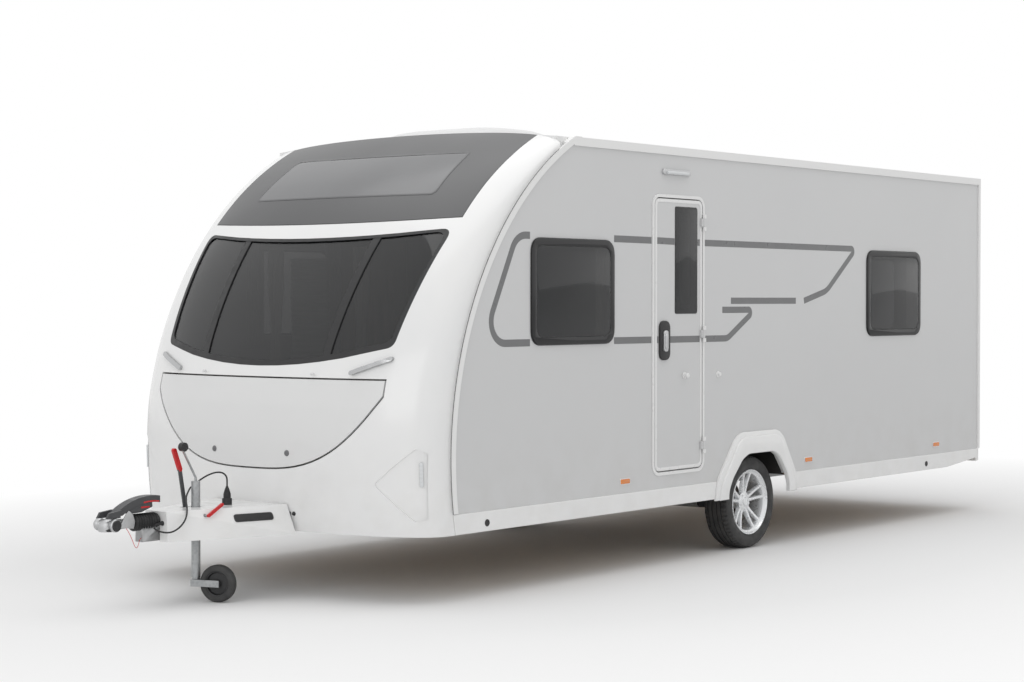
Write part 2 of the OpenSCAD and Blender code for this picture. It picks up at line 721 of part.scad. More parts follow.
handle_plate = [110, 238];
handle_plate_t = 14;
handle_lever = [44, 130];
handle_lever_t = 16;
retainer_knob = [22, 34];   // radius and length
module door_handle() {
    face = hw + frame_proud - 3 + fit;
    color("dimgray") across(face, handle_plate_t)
        translate([door_rear_y - 498, 1240]) round_rect(handle_plate, 30);
    color("silver") across(face + handle_plate_t, handle_lever_t)
        translate([door_rear_y - 462, 1290]) round_rect(handle_lever, 12);
    color("white") rod_x(face, door_rear_y - 222, 1143, retainer_knob[0], retainer_knob[1]);
}

// ---------- the offside service hatch ----------

hatch_axis = [-hw - 14, hatch_at[0] + 3];
hatch_knuckles = [hatch_at[1] + 90, hatch_at[1] + 270];
hatch_knuckle_r = 6;
hatch_knuckle_h = 40;
hatch_pin_r = 2.5;
module service_door() color("white") {
    across(-hw - 4, 28) hatch_outline(door_gap);
    for (z = hatch_knuckles)
        translate([hatch_axis[0], hatch_axis[1], z - hatch_knuckle_h / 2]) difference() {
        union() {
            cylinder(r = hatch_knuckle_r, h = hatch_knuckle_h);
            cube([10, 24, hatch_knuckle_h]);
        }
        translate([0, 0, -1]) cylinder(r = hatch_pin_r + run_clear, h = hatch_knuckle_h + 2);
    }
}

// ---------- wheels ----------

module wheel_at(side) translate([side * tyre_x, axle_y, wheel_z]) rotate([0, side * 90, 0]) children();

module tyre() color("dimgray") rotate_extrude($fn = 120) difference() {
    round_tyre = 28;
    translate([rim_d / 2, -tyre_w / 2]) round_rect([tyre_d / 2 - rim_d / 2, tyre_w], round_tyre);
    translate([0, -tyre_w]) square([rim_d / 2 + 1, 2 * tyre_w]);
}

rim_bore = 168;
hub_r = 62;
hub_t = 36;
spoke = [145, 22, 30];
spoke_start = 30;
stub_r = 18;
stub_l = 62;
module wheel() color("silver") {
    difference() {
        translate([0, 0, -tyre_w / 2 + 8]) cylinder(r = rim_d / 2 + 1 - fit, h = tyre_w - 16, $fn = 120);
        translate([0, 0, -tyre_w / 2]) cylinder(r = rim_bore, h = 2 * tyre_w, $fn = 120);
        translate([0, 0, tyre_w / 2 - 20]) cylinder(r1 = rim_bore, r2 = rim_bore + 30, h = 13, $fn = 120);
    }
    translate([0, 0, tyre_w / 2 - 62]) {
        cylinder(r = hub_r, h = hub_t);
        for (k = [0 : 4], s = [-11, 11]) rotate(72 * k + s)
            translate([spoke_start, -spoke[1] / 2, 4]) cube(spoke);
    }
    translate([0, 0, -tyre_w / 2 - 50]) difference() {
        cylinder(r = drum_r - 4, h = tyre_w - 12);
        translate([0, 0, -1]) cylinder(r = stub_r + run_clear, h = stub_l - 2);
    }
}

module tyre_left() wheel_at(1) tyre();
module tyre_right() wheel_at(-1) tyre();
module wheel_left() wheel_at(1) wheel();
module wheel_right() wheel_at(-1) wheel();

// ---------- drawbar, coupling and brake ----------

brake_x = -42;          // middle of the handbrake lever
brake_r = 11;
cover_front_y = nose_y + 385;
cover_rear_y = front_y - 362;
module cover_block(inset) {
    f = 92 - inset;
    r = 345 - inset;
    top_f = 80 - inset;
    top_r = 276 - inset;
    y0 = cover_front_y + inset;
    z0 = cover_low_z - (inset > 0 ? 10 : 0);
    z1 = cover_top_z - inset;
    y1 = cover_rear_y + (inset > 0 ? 10 : 0);
    polyhedron(
        [[-f, y0, z0], [f, y0, z0], [r, y1, z0], [-r, y1, z0],
         [-top_f, y0, z1], [top_f, y0, z1], [top_r, y1, z1], [-top_r, y1, z1]],
        [[0, 1, 2], [0, 2, 3], [4, 6, 5], [4, 7, 6], [0, 4, 5], [0, 5, 1],
         [1, 5, 2], [5, 6, 2], [2, 6, 7], [2, 7, 3], [3, 7, 4], [3, 4, 0]]);
}

module drawbar_cover() color("white") difference() {
    cover_block(0);
    cover_block(cover_t);
    translate([0, jockey_y, 0]) cylinder(r = jockey_r + 6, h = cover_top_z + 50);
    rod_y(0, cover_front_y - 50, ball_z, shaft_r + 2, 100);
    translate([-30, cover_front_y - 20, 0]) cube([60, 60, 434]);
    translate([brake_x - 11, jockey_y - 72, cover_top_z - 20]) cube([22, 70, 60]);
    rod_x(100, clamp_pin[0], clamp_pin[1], clamp_pin_r + 3, 90);
    translate([lead_route[0][0], cover_front_y - 20, lead_route[0][2]]) rotate([-90, 0, 0])
        cylinder(r = lead_d / 2 + 0.4, h = 40);
}

socket_r = ball_d / 2 + 0.5;
shaft_r = 26;
module coupling_head() color("silver") difference() {
    union() {
        rod_y(0, ball_y + 40, ball_z, shaft_r, 385);
        translate([-45, ball_y - 45, ball_z - 30]) cube([90, 100, 66]);
        for (x = [-72, 45]) rod_x(x, ball_y, ball_z + 2, 33, 27);
        translate([-28, drawbar_front_y - 130, 352]) cube([56, 130 - fit, 80]);
        translate([-70, drawbar_front_y + 4, rail_z + rail_h + fit]) cube([140, 110, 8]);
        translate([16, nose_y + 126, 435]) cube([17, 14, 14]);
    }
    translate([0, ball_y, ball_z - 31]) cylinder(r = socket_r, h = 31);
    translate([0, ball_y, ball_z]) sphere(socket_r);
}

module coupling_handle() color("dimgray") {
    across(-29, 58) difference() {
        translate([ball_y + 270, ball_z - 270]) circle(405, $fn = 120);
        translate([ball_y + 270, ball_z - 270]) circle(370, $fn = 120);
        translate([ball_y - 300, ball_z - 900]) square([900, 945]);
        translate([ball_y + 330, ball_z - 900]) square([900, 2000]);
    }
    for (x = [-43, 29]) across(x, 14) polygon([
        [ball_y - 40, ball_z + 36 + fit], [ball_y + 50, ball_z + 36 + fit], [ball_y + 60, ball_z + 75],
        [ball_y - 20, ball_z + 66]]);
}

module overrun_bellows() color("black") difference() {
    rod_y(0, cover_front_y - 165, ball_z, 45, 160);
    rod_y(0, cover_front_y - 170, ball_z, shaft_r + fit, 170);
    translate([-28 - fit, drawbar_front_y - 135, 300]) cube([56 + 2 * fit, 140, 132 + fit]);
}

// The lever stands on the clamp plate; its grip leans forward from the knee
brake_foot = [jockey_y - 20, rail_z + 30 + fit + brake_r];
brake_knee = [jockey_y - 75, 706];
brake_top = [jockey_y - 114, 806];
module handbrake_lever() {
    color("dimgray") across(brake_x - 5, 10) link(brake_foot, brake_knee, brake_r);
    color("red") across(brake_x - 8, 16) link(brake_knee, brake_top, brake_r + 2);
}

module jockey_clamp() {
    inner = drawbar_x + (rail_x - drawbar_x) * (jockey_y - 30 - drawbar_front_y)
        / (drawbar_rear_y - drawbar_front_y) - rail_w / 2 - 2 * fit;
    clamp_z = rail_z + 20;
    collar_r = jockey_r + 10;
    color("silver") difference() {
        translate([0, 0, clamp_z]) {
            translate([-inner, jockey_y - 30, 0]) cube([2 * inner, 60, 10]);
            translate([0, jockey_y, 0]) cylinder(r = collar_r, h = 70);
            translate([collar_r, clamp_pin[0] - 12, 0])
                cube([12, jockey_y - clamp_pin[0], clamp_pin[1] - rail_z]);
        }
        translate([0, jockey_y, rail_z]) cylinder(r = jockey_r + run_clear, h = 120);
    }
    color("silver") rod_x(collar_r, clamp_pin[0], clamp_pin[1], clamp_pin_r, clamp_lever_x - collar_r + 10);
    color("red") across(clamp_lever_x, 12) link(clamp_pin, clamp_pin + [96, 52], 8);
}

plug_r = 22;
plug_h = 50;
plug_floor = 8;         // bottom of the holder
plug_tail = [20, 7];    // radius of the plug's boot, below and above
module plug_holder() color("dimgray") translate([plug_at[0], nose_y + plug_at[1], cover_top_z]) difference() {
    translate([0, 0, fit]) cylinder(r = plug_r + 5, h = 34);
    translate([0, 0, plug_floor]) cylinder(r = plug_r, h = 40);
}

module road_plug() color("black") translate([plug_at[0], nose_y + plug_at[1], cover_top_z + plug_floor]) {
    translate([0, 0, fit]) cylinder(r = plug_r - fit, h = plug_h);
    translate([0, 0, plug_h]) cylinder(r1 = plug_tail[0], r2 = plug_tail[1],
        h = lead_top_z - cover_top_z - plug_floor - plug_h - fit);
}

module road_lead() color("black") translate([0, nose_y, 0]) swept_tube(lead_route, lead_d, 10);

module breakaway_cable() color("red") translate([0, nose_y, 0]) swept_tube(cable_route, cable_d, 8);

// ---------- jockey wheel ----------

module jockey_tube() color("silver") {
    difference() {
        translate([0, jockey_y, jockey_low_z]) cylinder(r = jockey_r, h = jockey_top_z - jockey_low_z);
        translate([0, jockey_y, jockey_low_z - 1]) cylinder(r = jockey_r - 3, h = 440);
    }
    translate([0, jockey_y, jockey_top_z]) cylinder(r = 7, h = 20);
    translate([0, jockey_y, 0]) across(-5, 10) link([0, jockey_top_z + 18], [-85, 800], 4);
    color("black") rod_x(-14, jockey_y - 88, 826, 24, 28);
}

stem_r = jockey_r - 3 - run_clear;
module jockey_stem() color("silver") translate([0, jockey_y, 0]) difference() {
    translate([0, 0, jockey_low_z - 12]) cylinder(r = stem_r, h = 410);
    translate([0, 0, jockey_low_z - 20]) cylinder(r = swivel_pin_r + run_clear, h = 60);
}

module jockey_frame() translate([0, jockey_y, 0]) rotate([0, 0, jockey_turn]) children();

axle_pin_z = jockey_wheel_d / 2;
fork_x = 26;            // half width of the swivel block under the stem
fork_plate_t = 6;
fork_plate_h = 36;
fork_half = 34;         // swivel axis to the outside of a plate
swivel_pin_r = 8;
axle_pin_r = 6;
module jockey_fork() color("silver") jockey_frame() {
    translate([0, 0, jockey_low_z - 17]) cylinder(r = swivel_pin_r, h = 50);
    translate([0, 0, jockey_low_z - 44]) cylinder(r = fork_x, h = 28);
    for (y = [-fork_half, fork_half - fork_plate_t]) translate([-16, y, axle_pin_z - fork_plate_h / 2])
        cube([jockey_trail + 34, fork_plate_t, fork_plate_h]);
    for (y = [-fork_half, fork_half - 14]) translate([-16, y, axle_pin_z - 16]) cube([32, 14, 27]);
    translate([jockey_trail, -fork_half, axle_pin_z]) rotate([-90, 0, 0])
        cylinder(r = axle_pin_r, h = 2 * fork_half);
}

roller_w = 46;
roller_shoulder = 6;
module jockey_wheel() color("dimgray") jockey_frame()
    translate([jockey_trail, -roller_w / 2, axle_pin_z]) rotate([-90, 0, 0]) difference() {
        union() {
            cylinder(r = jockey_wheel_d / 2 - roller_shoulder, h = roller_w, $fn = 96);
            translate([0, 0, roller_shoulder])
                cylinder(r = jockey_wheel_d / 2, h = roller_w - 2 * roller_shoulder, $fn = 96);
        }
        translate([0, 0, -1]) cylinder(r = axle_pin_r + run_clear, h = roller_w + 2);
    }

// ---------- corner steadies ----------

steady_l = 400;
steady_z = 398;
steady_x = 900;
steady_pin_r = 6;
steady_r = 14;          // half height of a leg
steady_w = 30;
steady_foot = [80, 70, 20];
bracket_t = 6;
bracket = [52, 60];     // width and length
module steady_bracket(x, y) {
    for (s = [-bracket[0] / 2, bracket[0] / 2 - bracket_t])
        translate([x + s, y - bracket[1] / 2, steady_z - steady_r])
            cube([bracket_t, bracket[1], floor_low_z - fit - steady_z + steady_r]);
    translate([x - bracket[0] / 2, y - bracket[1] / 2, floor_low_z - bracket_t - fit])
        cube([bracket[0], bracket[1], bracket_t]);
    rod_x(x - bracket[0] / 2, y, steady_z, steady_pin_r, bracket[0]);
}

module steady_leg(x, y, way) color("dimgray") difference() {
    union() {
        across(x - steady_w / 2, steady_w)
            link([y, steady_z], [y + way * steady_l, steady_z - 8], steady_r);
        translate([x - steady_foot[0] / 2, y + way * steady_l - steady_foot[1] / 2, steady_z - 36])
            cube(steady_foot);
    }
    rod_x(x - steady_w / 2 - 5, y, steady_z, steady_pin_r + run_clear, steady_w + 10);
}

front_steady_y = front_y + 720;
rear_steady_y = rear_y - 720;
module steady_front_left() steady_leg(steady_x, front_steady_y, -1);
module steady_front_right() steady_leg(-steady_x, front_steady_y, -1);
module steady_rear_left() steady_leg(steady_x, rear_steady_y, 1);
module steady_rear_right() steady_leg(-steady_x, rear_steady_y, 1);

// ---------- inside ----------

board_t = 15;
seat_l = 1350;
seat_w = 620;
seat_h = 400;
seat_y = front_y + 100;
chest = [800, 350, 640];
wall_gap = 10;          // furniture to the wall

// A chest of boards, open below, from its low corner
module chest_of_boards(size) difference() {
    cube(size);
    translate([board_t, board_t, -1]) cube(size - [2 * board_t, 2 * board_t, board_t - 1]);
}

module seat_boxes() color("tan") {
    for (x = [hw - wall_t - wall_gap - seat_w, -hw + wall_t + wall_gap])
        translate([x, seat_y, floor_top_z + fit]) chest_of_boards([seat_w, seat_l, seat_h]);
    translate([-chest[0] / 2, front_y + 80, floor_top_z + fit]) cube(chest);
}

cushion_inset = 20;
cushion_t = 130;
module seat_cushions() color("gray")
    for (x = [hw - wall_t - wall_gap - seat_w, -hw + wall_t + wall_gap])
        translate([x + cushion_inset, seat_y + cushion_inset, floor_top_z + fit + seat_h + fit])
            cube([seat_w - 2 * cushion_inset, seat_l - 2 * cushion_inset, cushion_t]);

wardrobe = [560, 420, 1900];
wardrobe_y = max(lounge_window_y + lounge_window_w + 40, seat_y + seat_l + 61);
kitchen_y = wardrobe_y + wardrobe[1] + fit;
kitchen = [560, min(770, axle_y - arch_half - 18 - kitchen_y), 880];
bed = [1400, 1820, 480];
mattress_t = 60;
bed_y = wall_rear_y - bed[1] - 30;
module interior_units() color("tan") {
    wall_x = -hw + wall_t + wall_gap / 2;
    translate([wall_x, wardrobe_y, floor_top_z + fit]) chest_of_boards(wardrobe);
    translate([wall_x, kitchen_y, floor_top_z + fit]) chest_of_boards(kitchen);
    translate([wall_x, bed_y, floor_top_z + fit]) chest_of_boards(bed);
}

module mattress() color("gainsboro")
    translate([-hw + wall_t + wall_gap, bed_y + wall_gap, floor_top_z + bed[2] + 2 * fit])
        cube([bed[0] - 2 * wall_gap, bed[1] - 2 * wall_gap, mattress_t]);

curtain_w = 150;
curtain_t = 30;
curtain_over = 40;      // curtain above and below its window
curtain_past = 30;      // curtain beyond the end of its window
front_curtain = [130, 28, 760];
front_blind = [300, 28, 700];
front_blind_shift = -60;
front_cloth_y = front_y + 150;
module curtains() color("white") {
    for (y = [lounge_window_y, rear_window_y], end = [0, 1]) both_sides() translate([
        hw - wall_t - curtain_t - fit,
        y + end * (lounge_window_w - curtain_w + 2 * curtain_past) - curtain_past,
        window_low_z - curtain_over]) cube([curtain_t, curtain_w, window_h + 2 * curtain_over]);
    // Two curtains and a blind behind the front window stand on the chest
    translate([0, front_cloth_y, floor_top_z + chest[2] + 2 * fit]) {
        both_sides() translate([chest[0] / 2 - front_curtain[0], 0, 0]) cube(front_curtain);
        translate([-front_blind[0] / 2 + front_blind_shift, 0, 0]) cube(front_blind);
    }
}

chassis_rails();
drawbar_rails();
cross_members();
axle_beam();
swing_arms();
floor_panel();
wheel_boxes();
side_wall_left();
side_wall_right();
roof_panel();
rear_panel();
front_moulding();
front_window_panes();
roof_window();
roof_pod();
rooflights();
awning_rails();
side_skirts();
wheel_spats();
window_frames();
side_windows();
rear_window();
rear_bumper();
lamps();
door_frame();
locker_bulkhead();
grab_handles();
drawbar_cover();
coupling_head();
coupling_handle();
overrun_bellows();
handbrake_lever();
jockey_clamp();
plug_holder();
road_lead();
road_plug();
breakaway_cable();
seat_boxes();
seat_cushions();
interior_units();
mattress();
curtains();
entrance_door();
door_window();
door_handle();
locker_door();
service_door();
tyre_left();
wheel_left();
tyre_right();
wheel_right();
jockey_tube();
jockey_stem();
jockey_fork();
jockey_wheel();
steady_front_left();
steady_front_right();
steady_rear_left();
steady_rear_right();
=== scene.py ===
import json
import math

import bmesh
import bpy
import numpy as np
from mathutils import Matrix, Vector
from mathutils.bvhtree import BVHTree

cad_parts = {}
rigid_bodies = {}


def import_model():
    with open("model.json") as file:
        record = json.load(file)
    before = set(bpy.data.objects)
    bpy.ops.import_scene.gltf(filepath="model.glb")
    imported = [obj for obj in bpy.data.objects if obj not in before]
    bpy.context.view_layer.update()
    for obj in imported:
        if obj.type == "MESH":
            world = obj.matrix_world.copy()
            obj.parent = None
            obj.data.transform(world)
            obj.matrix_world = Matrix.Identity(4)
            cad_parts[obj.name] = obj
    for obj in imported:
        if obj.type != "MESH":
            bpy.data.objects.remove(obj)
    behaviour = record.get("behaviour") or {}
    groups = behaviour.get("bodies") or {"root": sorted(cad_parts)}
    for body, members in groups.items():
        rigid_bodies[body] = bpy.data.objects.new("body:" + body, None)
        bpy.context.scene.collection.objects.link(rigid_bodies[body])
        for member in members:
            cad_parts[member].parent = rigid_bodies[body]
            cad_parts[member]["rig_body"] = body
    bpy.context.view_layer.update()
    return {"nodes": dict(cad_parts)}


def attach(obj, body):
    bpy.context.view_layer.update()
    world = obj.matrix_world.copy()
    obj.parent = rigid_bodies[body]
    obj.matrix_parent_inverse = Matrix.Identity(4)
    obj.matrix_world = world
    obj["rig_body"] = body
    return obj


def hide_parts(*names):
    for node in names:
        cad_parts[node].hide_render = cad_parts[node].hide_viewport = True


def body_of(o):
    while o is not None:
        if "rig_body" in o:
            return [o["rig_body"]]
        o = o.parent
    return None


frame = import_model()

nodes = frame["nodes"]

# ---- Studio -------------------------------------------------------------------------------
# A pale floor that runs up to a white surround, a broad soft lamp overhead, and a softer one
# from the front on the entrance side.


class Value:
    """A value in a finish's node tree. Arithmetic on it adds Math nodes."""

    def __init__(self, finish, socket):
        self.finish, self.socket = finish, socket

    def math(self, operation, first, second):
        return self.finish.node("ShaderNodeMath", {"operation": operation}, {0: first, 1: second})

    def __add__(self, other):
        return self.math("ADD", self, other)

    def __sub__(self, other):
        return self.math("SUBTRACT", self, other)

    def __rsub__(self, other):
        return self.math("SUBTRACT", other, self)

    def __mul__(self, other):
        return self.math("MULTIPLY", self, other)

    def __truediv__(self, other):
        return self.math("DIVIDE", self, other)

    __radd__ = __add__
    __rmul__ = __mul__


class Finish:
    """A material: its shader's own values, and the nodes that vary them over the surface."""

    def __init__(self, name, **values):
        self.material = bpy.data.materials.new(name)
        self.material.use_nodes = True
        self.tree = self.material.node_tree
        self.shader = self.tree.nodes["Principled BSDF"]
        for socket, value in values.items():
            self.shader.inputs[socket.replace("_", " ")].default_value = value

    def node(self, kind, settings, sockets, out=0):
        """Adds a node of a kind, with its settings and the values or links of its sockets."""
        node = self.tree.nodes.new(kind)
        for name, value in settings.items():
            setattr(node, name, value)
        for name, value in sockets.items():
            if isinstance(value, Value):
                self.tree.links.new(value.socket, node.inputs[name])
            else:
                node.inputs[name].default_value = value
        return Value(self, node.outputs[out])

    def vary(self, socket, value):
        self.tree.links.new(value.socket, self.shader.inputs[socket])

    def place(self, scale=(1, 1, 1)):
        """Object coordinates, stretched."""
        spot = self.node("ShaderNodeTexCoord", {}, {}, out=3)
        return self.node("ShaderNodeMapping", {}, {"Vector": spot, "Scale": scale})

    def noise(self, scale, detail=3.0, stretch=(1, 1, 1), rough=0.5):
        return self.node(
            "ShaderNodeTexNoise",
            {},
            {"Vector": self.place(stretch), "Scale": scale, "Detail": detail, "Roughness": rough},
        )

    def axis(self, index):
        """The distance along one axis of the object, in metres."""
        return self.node("ShaderNodeSeparateXYZ", {}, {0: self.place()}, out=index)

    def fade(self, value, low, high, to_low=0.0, to_high=1.0):
        """A value carried from one range to another."""
        return self.node("ShaderNodeMapRange", {}, {0: value, 1: low, 2: high, 3: to_low, 4: to_high})

    def blend(self, factor, first, second):
        """A colour between two."""
        return self.node("ShaderNodeMix", {"data_type": "RGBA"}, {0: factor, 6: first, 7: second}, out=2)

    def bands(self, direction, scale):
        """Even ridges across one direction."""
        return self.node(
            "ShaderNodeTexWave", {"bands_direction": direction}, {"Vector": self.place(), "Scale": scale},
            out=1
        )

    def bump(self, height, strength, distance):
        self.vary(
            "Normal",
            self.node(
                "ShaderNodeBump", {}, {"Height": height, "Strength": strength, "Distance": distance}
            ),
        )

    def grain(self, strength, distance, *cloud, **more):
        """Fine relief from a noise."""
        self.bump(self.noise(*cloud, **more), strength, distance)

    def worn(self, smooth, rough, *cloud, span=(0.3, 0.7), **more):
        """Roughness that drifts between two values."""
        self.vary("Roughness", self.fade(self.noise(*cloud, **more), *span, smooth, rough))

    def mottle(self, first, second, *cloud, span=None, **more):
        """A base colour that drifts between two."""
        drift = self.noise(*cloud, **more)
        if span:
            drift = self.fade(drift, *span)
        self.vary("Base Color", self.blend(drift, first, second))


def tone(code):
    """A colour written as on a screen, as the linear one that shaders take."""
    parts = [int(code[i : i + 2], 16) / 255 for i in (0, 2, 4)]
    line = [p / 12.92 if p <= 0.04045 else ((p + 0.055) / 1.055) ** 2.4 for p in parts]
    return (*line, 1.0)


scene = bpy.context.scene
scene.view_settings.view_transform = "Standard"

world = bpy.data.worlds.new("surround")
world.use_nodes = True
scene.world = world
sky = world.node_tree
seen = sky.nodes.new("ShaderNodeLightPath")
direct = sky.nodes.new("ShaderNodeMath")
direct.operation = "MAXIMUM"
mirrored = sky.nodes.new("ShaderNodeMath")
mirrored.operation = "MAXIMUM"
sky.links.new(seen.outputs["Is Camera Ray"], direct.inputs[0])
sky.links.new(seen.outputs["Is Transmission Ray"], direct.inputs[1])
sky.links.new(direct.outputs[0], mirrored.inputs[0])
sky.links.new(seen.outputs["Is Glossy Ray"], mirrored.inputs[1])
strength = sky.nodes.new("ShaderNodeMapRange")
surround_light = 0.71
strength.inputs[3].default_value = surround_light
sky.links.new(mirrored.outputs[0], strength.inputs[0])
sky.nodes["Background"].inputs["Color"].default_value = (1, 1, 1, 1)
sky.links.new(strength.outputs[0], sky.nodes["Background"].inputs["Strength"])

floor_mesh = bmesh.new()
bmesh.ops.create_grid(floor_mesh, x_segments=1, y_segments=1, size=60)
floor_data = bpy.data.meshes.new("floor")
floor_mesh.to_mesh(floor_data)
floor_mesh.free()
floor = bpy.data.objects.new("floor", floor_data)
scene.collection.objects.link(floor)
floor_finish = Finish("pale_floor", Base_Color=(0.86, 0.86, 0.86, 1), Roughness=0.9, Specular_IOR_Level=0.1)
across, along = floor_finish.axis(0), floor_finish.axis(1)
spread = across * across + along * along * 0.4
distance = spread.math("SQRT", spread, 0.0)
grey_within, white_beyond = 2.6, 5.6
far_off = floor_finish.fade(distance, grey_within, white_beyond)
seen_floor = floor_finish.node("ShaderNodeLightPath", {}, {})
white = floor_finish.node("ShaderNodeEmission", {}, {"Color": (1, 1, 1, 1), "Strength": 1.0})
shown = floor_finish.tree.nodes.new("ShaderNodeMixShader")
floor_finish.tree.links.new((far_off * seen_floor).socket, shown.inputs[0])
floor_finish.tree.links.new(floor_finish.shader.outputs[0], shown.inputs[1])
floor_finish.tree.links.new(white.socket, shown.inputs[2])
floor_finish.tree.links.new(shown.outputs[0], floor_finish.tree.nodes["Material Output"].inputs["Surface"])
floor_data.materials.append(floor_finish.material)


def lamp(name, size, power, place, target):
    light = bpy.data.lights.new(name, "AREA")
    light.shape = "RECTANGLE"
    light.size, light.size_y = size
    light.energy = power
    holder = bpy.data.objects.new(name, light)
    holder.location = place
    holder.rotation_euler = (Vector(target) - Vector(place)).to_track_quat("-Z", "Y").to_euler()
    scene.collection.objects.link(holder)


lamp("overhead", (11, 8), 290, (1.0, 0.0, 8.5), (0.6, 0.4, 0.0))
lamp("front_fill", (7, 5), 150, (3.0, -12.0, 4.5), (0.0, -2.0, 1.2))

camera_data = bpy.data.cameras.new("camera")
camera_data.lens = 71.895
camera_data.sensor_width = 36.0
camera_data.clip_end = 200.0
camera = bpy.data.objects.new("camera", camera_data)
camera.location = (8.089, -10.652, 1.603)
camera.rotation_euler = (math.radians(90 - 1.149), 0.0, math.radians(38.56))
scene.collection.objects.link(camera)
scene.camera = camera

# ---- Road lead and breakaway cable ----------------------------------------------------------
# A black seven-core lead in a rubber jacket leaves a gland on the drawbar cover and ends in its
# plug, parked in a holder. A thin red coated steel cable hangs in a loop under the coupling.

coupling_nose_y = -3.870


def rounded_route(points, steps=6):
    """A smooth line through the points of a route."""
    rows = [Vector(p) for p in points]
    line = []
    for i in range(len(rows) - 1):
        before, start, end, after = rows[max(i - 1, 0)], rows[i], rows[i + 1], rows[
            min(i + 2, len(rows) - 1)
        ]
        for k in range(steps):
            t = k / steps
            line.append(
                0.5
                * (
                    2 * start
                    + (end - before) * t
                    + (2 * before - 5 * start + 4 * end - after) * t * t
                    + (3 * start - before - 3 * end + after) * t**3
                )
            )
    return line + [rows[-1]]


def add_piece(name, bm, finish, body="caravan", node=None, angle=35):
    """Turns a bmesh into a piece on a body, smooth but for edges sharper than an angle."""
    data = bpy.data.meshes.new(name)
    bm.to_mesh(data)
    bm.free()
    data.shade_smooth()
    data.set_sharp_from_angle(angle=math.radians(angle))
    piece = bpy.data.objects.new(name, data)
    scene.collection.objects.link(piece)
    data.materials.append(finish.material)
    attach(piece, body)
    if node:
        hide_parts(node)
    return piece


def tube(bm, line, radius, sides=12):
    """Sweeps a round tube along a line, with closed ends."""
    up = Vector((0.31, 0.17, 0.93))
    rings = []
    for i, spot in enumerate(line):
        ahead = (line[min(i + 1, len(line) - 1)] - line[max(i - 1, 0)]).normalized()
        side = ahead.cross(up).normalized()
        up = side.cross(ahead)
        ring = bmesh.ops.create_circle(bm, segments=sides, radius=radius)["verts"]
        turn = Matrix((side, up, ahead)).transposed().to_4x4()
        bmesh.ops.transform(bm, matrix=Matrix.Translation(spot) @ turn, verts=ring)
        edges = list({e for v in ring for e in v.link_edges})
        if rings:
            bmesh.ops.bridge_loops(bm, edges=rings[-1] + edges)
        rings.append(edges)
    for edges in (rings[0], rings[-1]):
        bmesh.ops.contextual_create(bm, geom=edges)
    bmesh.ops.recalc_face_normals(bm, faces=bm.faces)


def run_length(line):
    return sum((b - a).length for a, b in zip(line, line[1:]))


def join(bm, part):
    """Adds a finished part to a larger bmesh."""
    data = bpy.data.meshes.new("part")
    part.to_mesh(data)
    part.free()
    bm.from_mesh(data)
    bpy.data.meshes.remove(data)


def turned(bm, profile, frame_at, steps=40):
    """Adds a solid of revolution: (radius, height) points turned about a frame's own Z."""
    solid = bmesh.new()
    line = [solid.verts.new((r, 0, h)) for r, h in profile]
    edges = [solid.edges.new(pair) for pair in zip(line, line[1:])]
    bmesh.ops.spin(
        solid, geom=line + edges, angle=2 * math.pi, steps=steps, axis=(0, 0, 1), cent=(0, 0, 0),
        use_merge=True
    )
    bmesh.ops.remove_doubles(solid, verts=solid.verts, dist=0.00001)
    bmesh.ops.transform(solid, matrix=frame_at, verts=solid.verts)
    bmesh.ops.recalc_face_normals(solid, faces=solid.faces)
    join(bm, solid)


lead_diameter = 0.009
lead_route = [
    (0.052, 0.3997, 0.442), (0.052, 0.372, 0.442), (0.052, 0.348, 0.440), (0.057, 0.327, 0.435),
    (0.071, 0.311, 0.427), (0.092, 0.305, 0.418), (0.113, 0.311, 0.410), (0.127, 0.327, 0.405),
    (0.133, 0.349, 0.402), (0.136, 0.376, 0.404), (0.140, 0.404, 0.414), (0.144, 0.431, 0.432),
    (0.144, 0.456, 0.457), (0.134, 0.478, 0.484), (0.113, 0.500, 0.508), (0.084, 0.524, 0.528),
    (0.050, 0.552, 0.546), (0.014, 0.586, 0.564), (-0.014, 0.622, 0.582), (-0.036, 0.660, 0.602),
    (-0.038, 0.700, 0.624), (-0.026, 0.738, 0.648), (-0.010, 0.766, 0.665), (0.010, 0.792, 0.676),
    (0.027, 0.814, 0.678), (0.038, 0.833, 0.670), (0.0435, 0.846, 0.654), (0.045, 0.850, 0.634),
    (0.045, 0.850, 0.602),
]
lead_line = rounded_route([(x, y + coupling_nose_y, z) for x, y, z in lead_route])
cable_diameter = 0.003
cable_route = [
    (0.020, 0.2697, 0.372), (0.020, 0.263, 0.371), (0.024, 0.252, 0.362), (0.032, 0.238, 0.344),
    (0.040, 0.224, 0.332), (0.046, 0.211, 0.330), (0.049, 0.200, 0.338), (0.049, 0.192, 0.352),
    (0.047, 0.185, 0.370), (0.043, 0.178, 0.390), (0.038, 0.170, 0.410), (0.033, 0.162, 0.426),
    (0.029, 0.154, 0.437), (0.027, 0.146, 0.442), (0.027, 0.1403, 0.442),
]
cable_line = rounded_route([(x, y + coupling_nose_y, z) for x, y, z in cable_route])

black_rubber = Finish("black_rubber", Base_Color=tone("1b1b1c"), Roughness=0.55)
black_rubber.grain(0.25, 0.0004, 260, detail=2)
black_rubber.worn(0.45, 0.68, 30)
red_sleeve = Finish("red_sleeve", Base_Color=tone("c81f28"), Roughness=0.35)
red_sleeve.grain(0.2, 0.0002, 900, stretch=(1, 1, 3))

